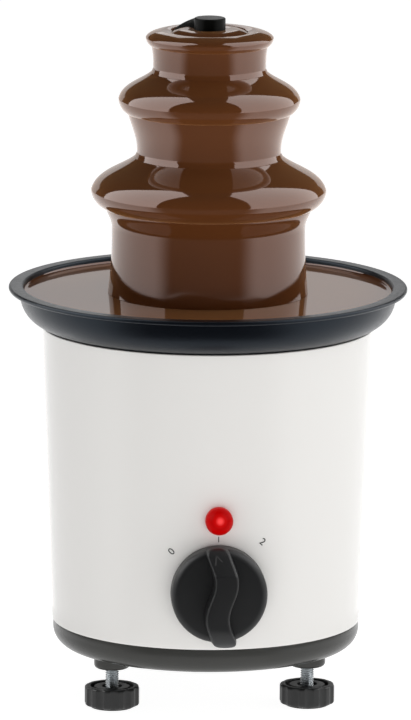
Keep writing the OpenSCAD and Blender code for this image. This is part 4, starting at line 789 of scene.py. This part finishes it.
# the lens glows by the distance from its middle, seen from the front
def lensFinish(v):
    finish = finishes["red_lens"]
    tree = finish.node_tree
    shader = tree.nodes["Principled BSDF"]
    coords = tree.nodes.new("ShaderNodeTexCoord")
    place = tree.nodes.new("ShaderNodeMapping")
    place.inputs["Location"].default_value = (0, 0, -(v["z"] + v["glowRise"]) * mm)
    flat = tree.nodes.new("ShaderNodeVectorMath")
    flat.operation = "MULTIPLY"
    flat.inputs[1].default_value = (1 / v["r"] / mm, 0, 1 / v["r"] / mm)
    size = tree.nodes.new("ShaderNodeVectorMath")
    size.operation = "LENGTH"
    ramp = tree.nodes.new("ShaderNodeValToRGB")
    while len(ramp.color_ramp.elements) < len(v["glowSteps"]):
        ramp.color_ramp.elements.new(0.5)
    for element, (at, color) in zip(ramp.color_ramp.elements, v["glowSteps"]):
        element.position, element.color = at, color
    tree.links.new(coords.outputs["Object"], place.inputs["Vector"])
    tree.links.new(place.outputs[0], flat.inputs[0])
    tree.links.new(flat.outputs[0], size.inputs[0])
    tree.links.new(size.outputs["Value"], ramp.inputs["Fac"])
    tree.links.new(ramp.outputs["Color"], shader.inputs["Emission Color"])
    shader.inputs["Emission Strength"].default_value = v["glow"]
    return finish


# dome: an arc of radius (r^2 + dome^2) / (2 dome), turned about the axis of the lens
def buildLamp(v):
    bulge = (v["r"] ** 2 + v["dome"] ** 2) / (2 * v["dome"])
    start = math.degrees(math.asin((bulge - v["dome"]) / bulge))
    line = np.concatenate([
        [(0, -v["depth"]), (v["neck"], -v["depth"]), (v["neck"], 0), (v["r"] - v["edge"], 0),
         (v["r"], v["edge"])],
        arc((0, v["rim"] + v["dome"] - bulge), bulge, start, 90, 24)])
    lens = toFront(revolve(line, v["turns"], closed=False), v["y"], v["z"])
    makePiece("lampLens", [lens], lensFinish(v), "base", ["lamp_lens"])


buildLamp(lamp)

# Cord gland on the back: a round flange with an eased edge and a groove round its bore
gland = {"z": 53.2, "y": 70.112, "flangeR": 8, "flangeEdge": 1.2, "thick": 2.6, "bodyR": 6, "bodyEdge": 0.3,
         "bore": 3.5, "boreEdge": 0.4, "depth": 11.31, "groove": 0.5, "grooveR": (5.4, 5.1, 4.6, 4.4),
         "edge": 0.1, "turns": 96}


def buildGland(g):
    low, face, edge = -g["depth"], g["thick"], g["edge"]
    sunk, (a, b, c, d) = face - g["groove"], g["grooveR"]
    line = eased([(g["bore"], low, 2 * edge), (g["bodyR"], low, g["bodyEdge"]), (g["bodyR"], 0, edge / 2),
                  (g["flangeR"], 0, 2 * edge), (g["flangeR"], face, g["flangeEdge"]), (a, face, edge),
                  (b, sunk, edge), (c, sunk, edge), (d, face, edge), (g["bore"], face, g["boreEdge"])])
    body = toBack(revolve(line, g["turns"]), g["y"], g["z"])
    makePiece("cordGland", [body], finishes["black_plastic"], "base", ["cord_gland"])


buildGland(gland)
print("lamp and gland made")

# Studio, in metres: a glowing white floor and four soft lights; the cards are what shiny faces see
# lights: place, turn, width, height, level; side cards: x, corners (y, z), level; back cards: x, z, level
studio = {"floor": 14, "floorColor": 0.4, "floorGlow": 0.95, "sky": 0.14, "room": 9, "dark": 0.02,
          "lights": (("leftLight", (-0.75, 0, 0.85), (90, 0, -90), 1.2, 1.5, 0.08),
                     ("rightLight", (0.75, 0, 0.85), (90, 0, 90), 1.2, 1.5, 0.76),
                     ("fillLight", (0, -1.2, 0.15), (90, 0, 0), 1, 0.3, 3.4),
                     ("topLight", (0, 0, 1.4), (0, 0, 0), 1, 1, 0.9)),
          "sideCards": (("leftCard", -0.6, ((-0.44, 0.2), (0.4, 0.2), (1.1, 3.6), (0.06, 3.6)), 2.9),
                        ("rightCard", 0.6, ((-0.88, 0.2), (0.44, 0.2), (1.1, 3.2), (-0.04, 3.2)), 2.4)),
          "backY": 2, "backCards": (("backCard", (-1.2, 1.2), (0, 0.75), 0.8),
                                    ("stripCard", (-0.1, 0.35), (0.75, 1.5), 1.6)),
          "tableIn": 0.19, "tableOut": 8.8, "tableZ": 0.002, "tableSides": 96, "tableDark": 0.12,
          "tablePale": 1.42, "tableAim": 8, "tableFrom": 38, "tableTo": 65}


def stageSheet(name, points, quads, finish):
    mesh = bpy.data.meshes.new(name)
    mesh.from_pydata(points, [], quads)
    mesh.materials.append(finish)
    sheet = bpy.data.objects.new(name, mesh)
    scene.collection.objects.link(sheet)
    return sheet


# rectangular light of even radiance: its power is that radiance times pi times its area
def panelLight(name, place, turn, wide, high, level):
    light = bpy.data.lights.new(name, "AREA")
    light.shape, light.size, light.size_y = "RECTANGLE", wide, high
    light.energy = level * math.pi * wide * high
    panel = bpy.data.objects.new(name, light)
    scene.collection.objects.link(panel)
    panel.location = place
    panel.rotation_euler = [math.radians(a) for a in turn]
    panel.visible_camera = panel.visible_glossy = False


def glowFinish(name, level, color=0):
    finish = bpy.data.materials.new(name)
    finish.use_nodes = True
    shader = finish.node_tree.nodes["Principled BSDF"]
    shader.inputs["Base Color"].default_value = (color, color, color, 1)
    shader.inputs["Roughness"].default_value = 0.9
    shader.inputs["Specular IOR Level"].default_value = 0
    shader.inputs["Emission Color"].default_value = (1, 1, 1, 1)
    shader.inputs["Emission Strength"].default_value = level
    return finish


# a card that only shiny faces see
def mirrorCard(name, points, finish, quads=((0, 1, 2, 3),)):
    card = stageSheet(name, points, quads, finish)
    card.visible_camera = card.visible_diffuse = card.visible_shadow = card.visible_transmission = False


# table top round the object: dark towards the viewer, pale to the sides, by the angle from the front
def tableFinish(s):
    finish = glowFinish("tableCard", 1)
    tree = finish.node_tree
    coords = tree.nodes.new("ShaderNodeTexCoord")
    parts = tree.nodes.new("ShaderNodeSeparateXYZ")
    tree.links.new(coords.outputs["Object"], parts.inputs[0])
    angle = addMath(tree, "ARCTAN2", parts.outputs[0], addMath(tree, "MULTIPLY", parts.outputs[1], -1))
    away = addMath(tree, "ABSOLUTE", addMath(tree, "ADD", angle, math.radians(s["tableAim"])), 0)
    change = tree.nodes.new("ShaderNodeMapRange")
    change.interpolation_type = "SMOOTHSTEP"
    for label, v in (("From Min", math.radians(s["tableFrom"])), ("From Max", math.radians(s["tableTo"])),
                     ("To Min", s["tableDark"]), ("To Max", s["tablePale"])):
        change.inputs[label].default_value = v
    tree.links.new(away, change.inputs["Value"])
    tree.links.new(change.outputs[0], tree.nodes["Principled BSDF"].inputs["Emission Strength"])
    return finish


def buildStudio(s):
    f = s["floor"]
    stageSheet("floor", [(-f, -f, 0), (f, -f, 0), (f, f, 0), (-f, f, 0)], [(0, 1, 2, 3)],
               glowFinish("paleFloor", s["floorGlow"], s["floorColor"]))
    world = bpy.data.worlds.new("sky")
    scene.world = world
    world.use_nodes = True
    sky = world.node_tree.nodes["Background"]
    sky.inputs["Color"].default_value = (1, 1, 1, 1)
    path = world.node_tree.nodes.new("ShaderNodeLightPath")
    more = addMath(world.node_tree, "MULTIPLY", path.outputs["Is Camera Ray"], 1 - s["sky"])
    world.node_tree.links.new(addMath(world.node_tree, "ADD", more, s["sky"]), sky.inputs["Strength"])
    for light in s["lights"]:
        panelLight(*light)
    room, dark = s["room"], glowFinish("darkRoom", s["dark"])
    corners = [(-room, -room), (room, -room), (room, room), (-room, room)]
    names = ("frontDark", "rightDark", "backDark", "leftDark")
    for name, a, b in zip(names, corners, corners[1:] + corners[:1]):
        mirrorCard(name, [(*a, 0), (*b, 0), (*b, room), (*a, room)], dark)
    mirrorCard("topDark", [(*corner, room) for corner in corners], dark)
    for name, x, shape, level in s["sideCards"]:
        mirrorCard(name, [(x, y, z) for y, z in shape], glowFinish(name + "Glow", level))
    y = s["backY"]
    for name, (left, right), (low, high), level in s["backCards"]:
        mirrorCard(name, [(left, y, low), (right, y, low), (right, y, high), (left, y, high)],
                   glowFinish(name + "Glow", level))
    ring, table = np.linspace(0, 2 * np.pi, s["tableSides"], endpoint=False), (s["tableIn"], s["tableOut"])
    points = [(r * math.sin(a), -r * math.cos(a), s["tableZ"]) for r in table for a in ring]
    mirrorCard("tableCard", points, tableFinish(s), gridQuads(2, len(ring), False, True).tolist())


buildStudio(studio)
print("studio lit")
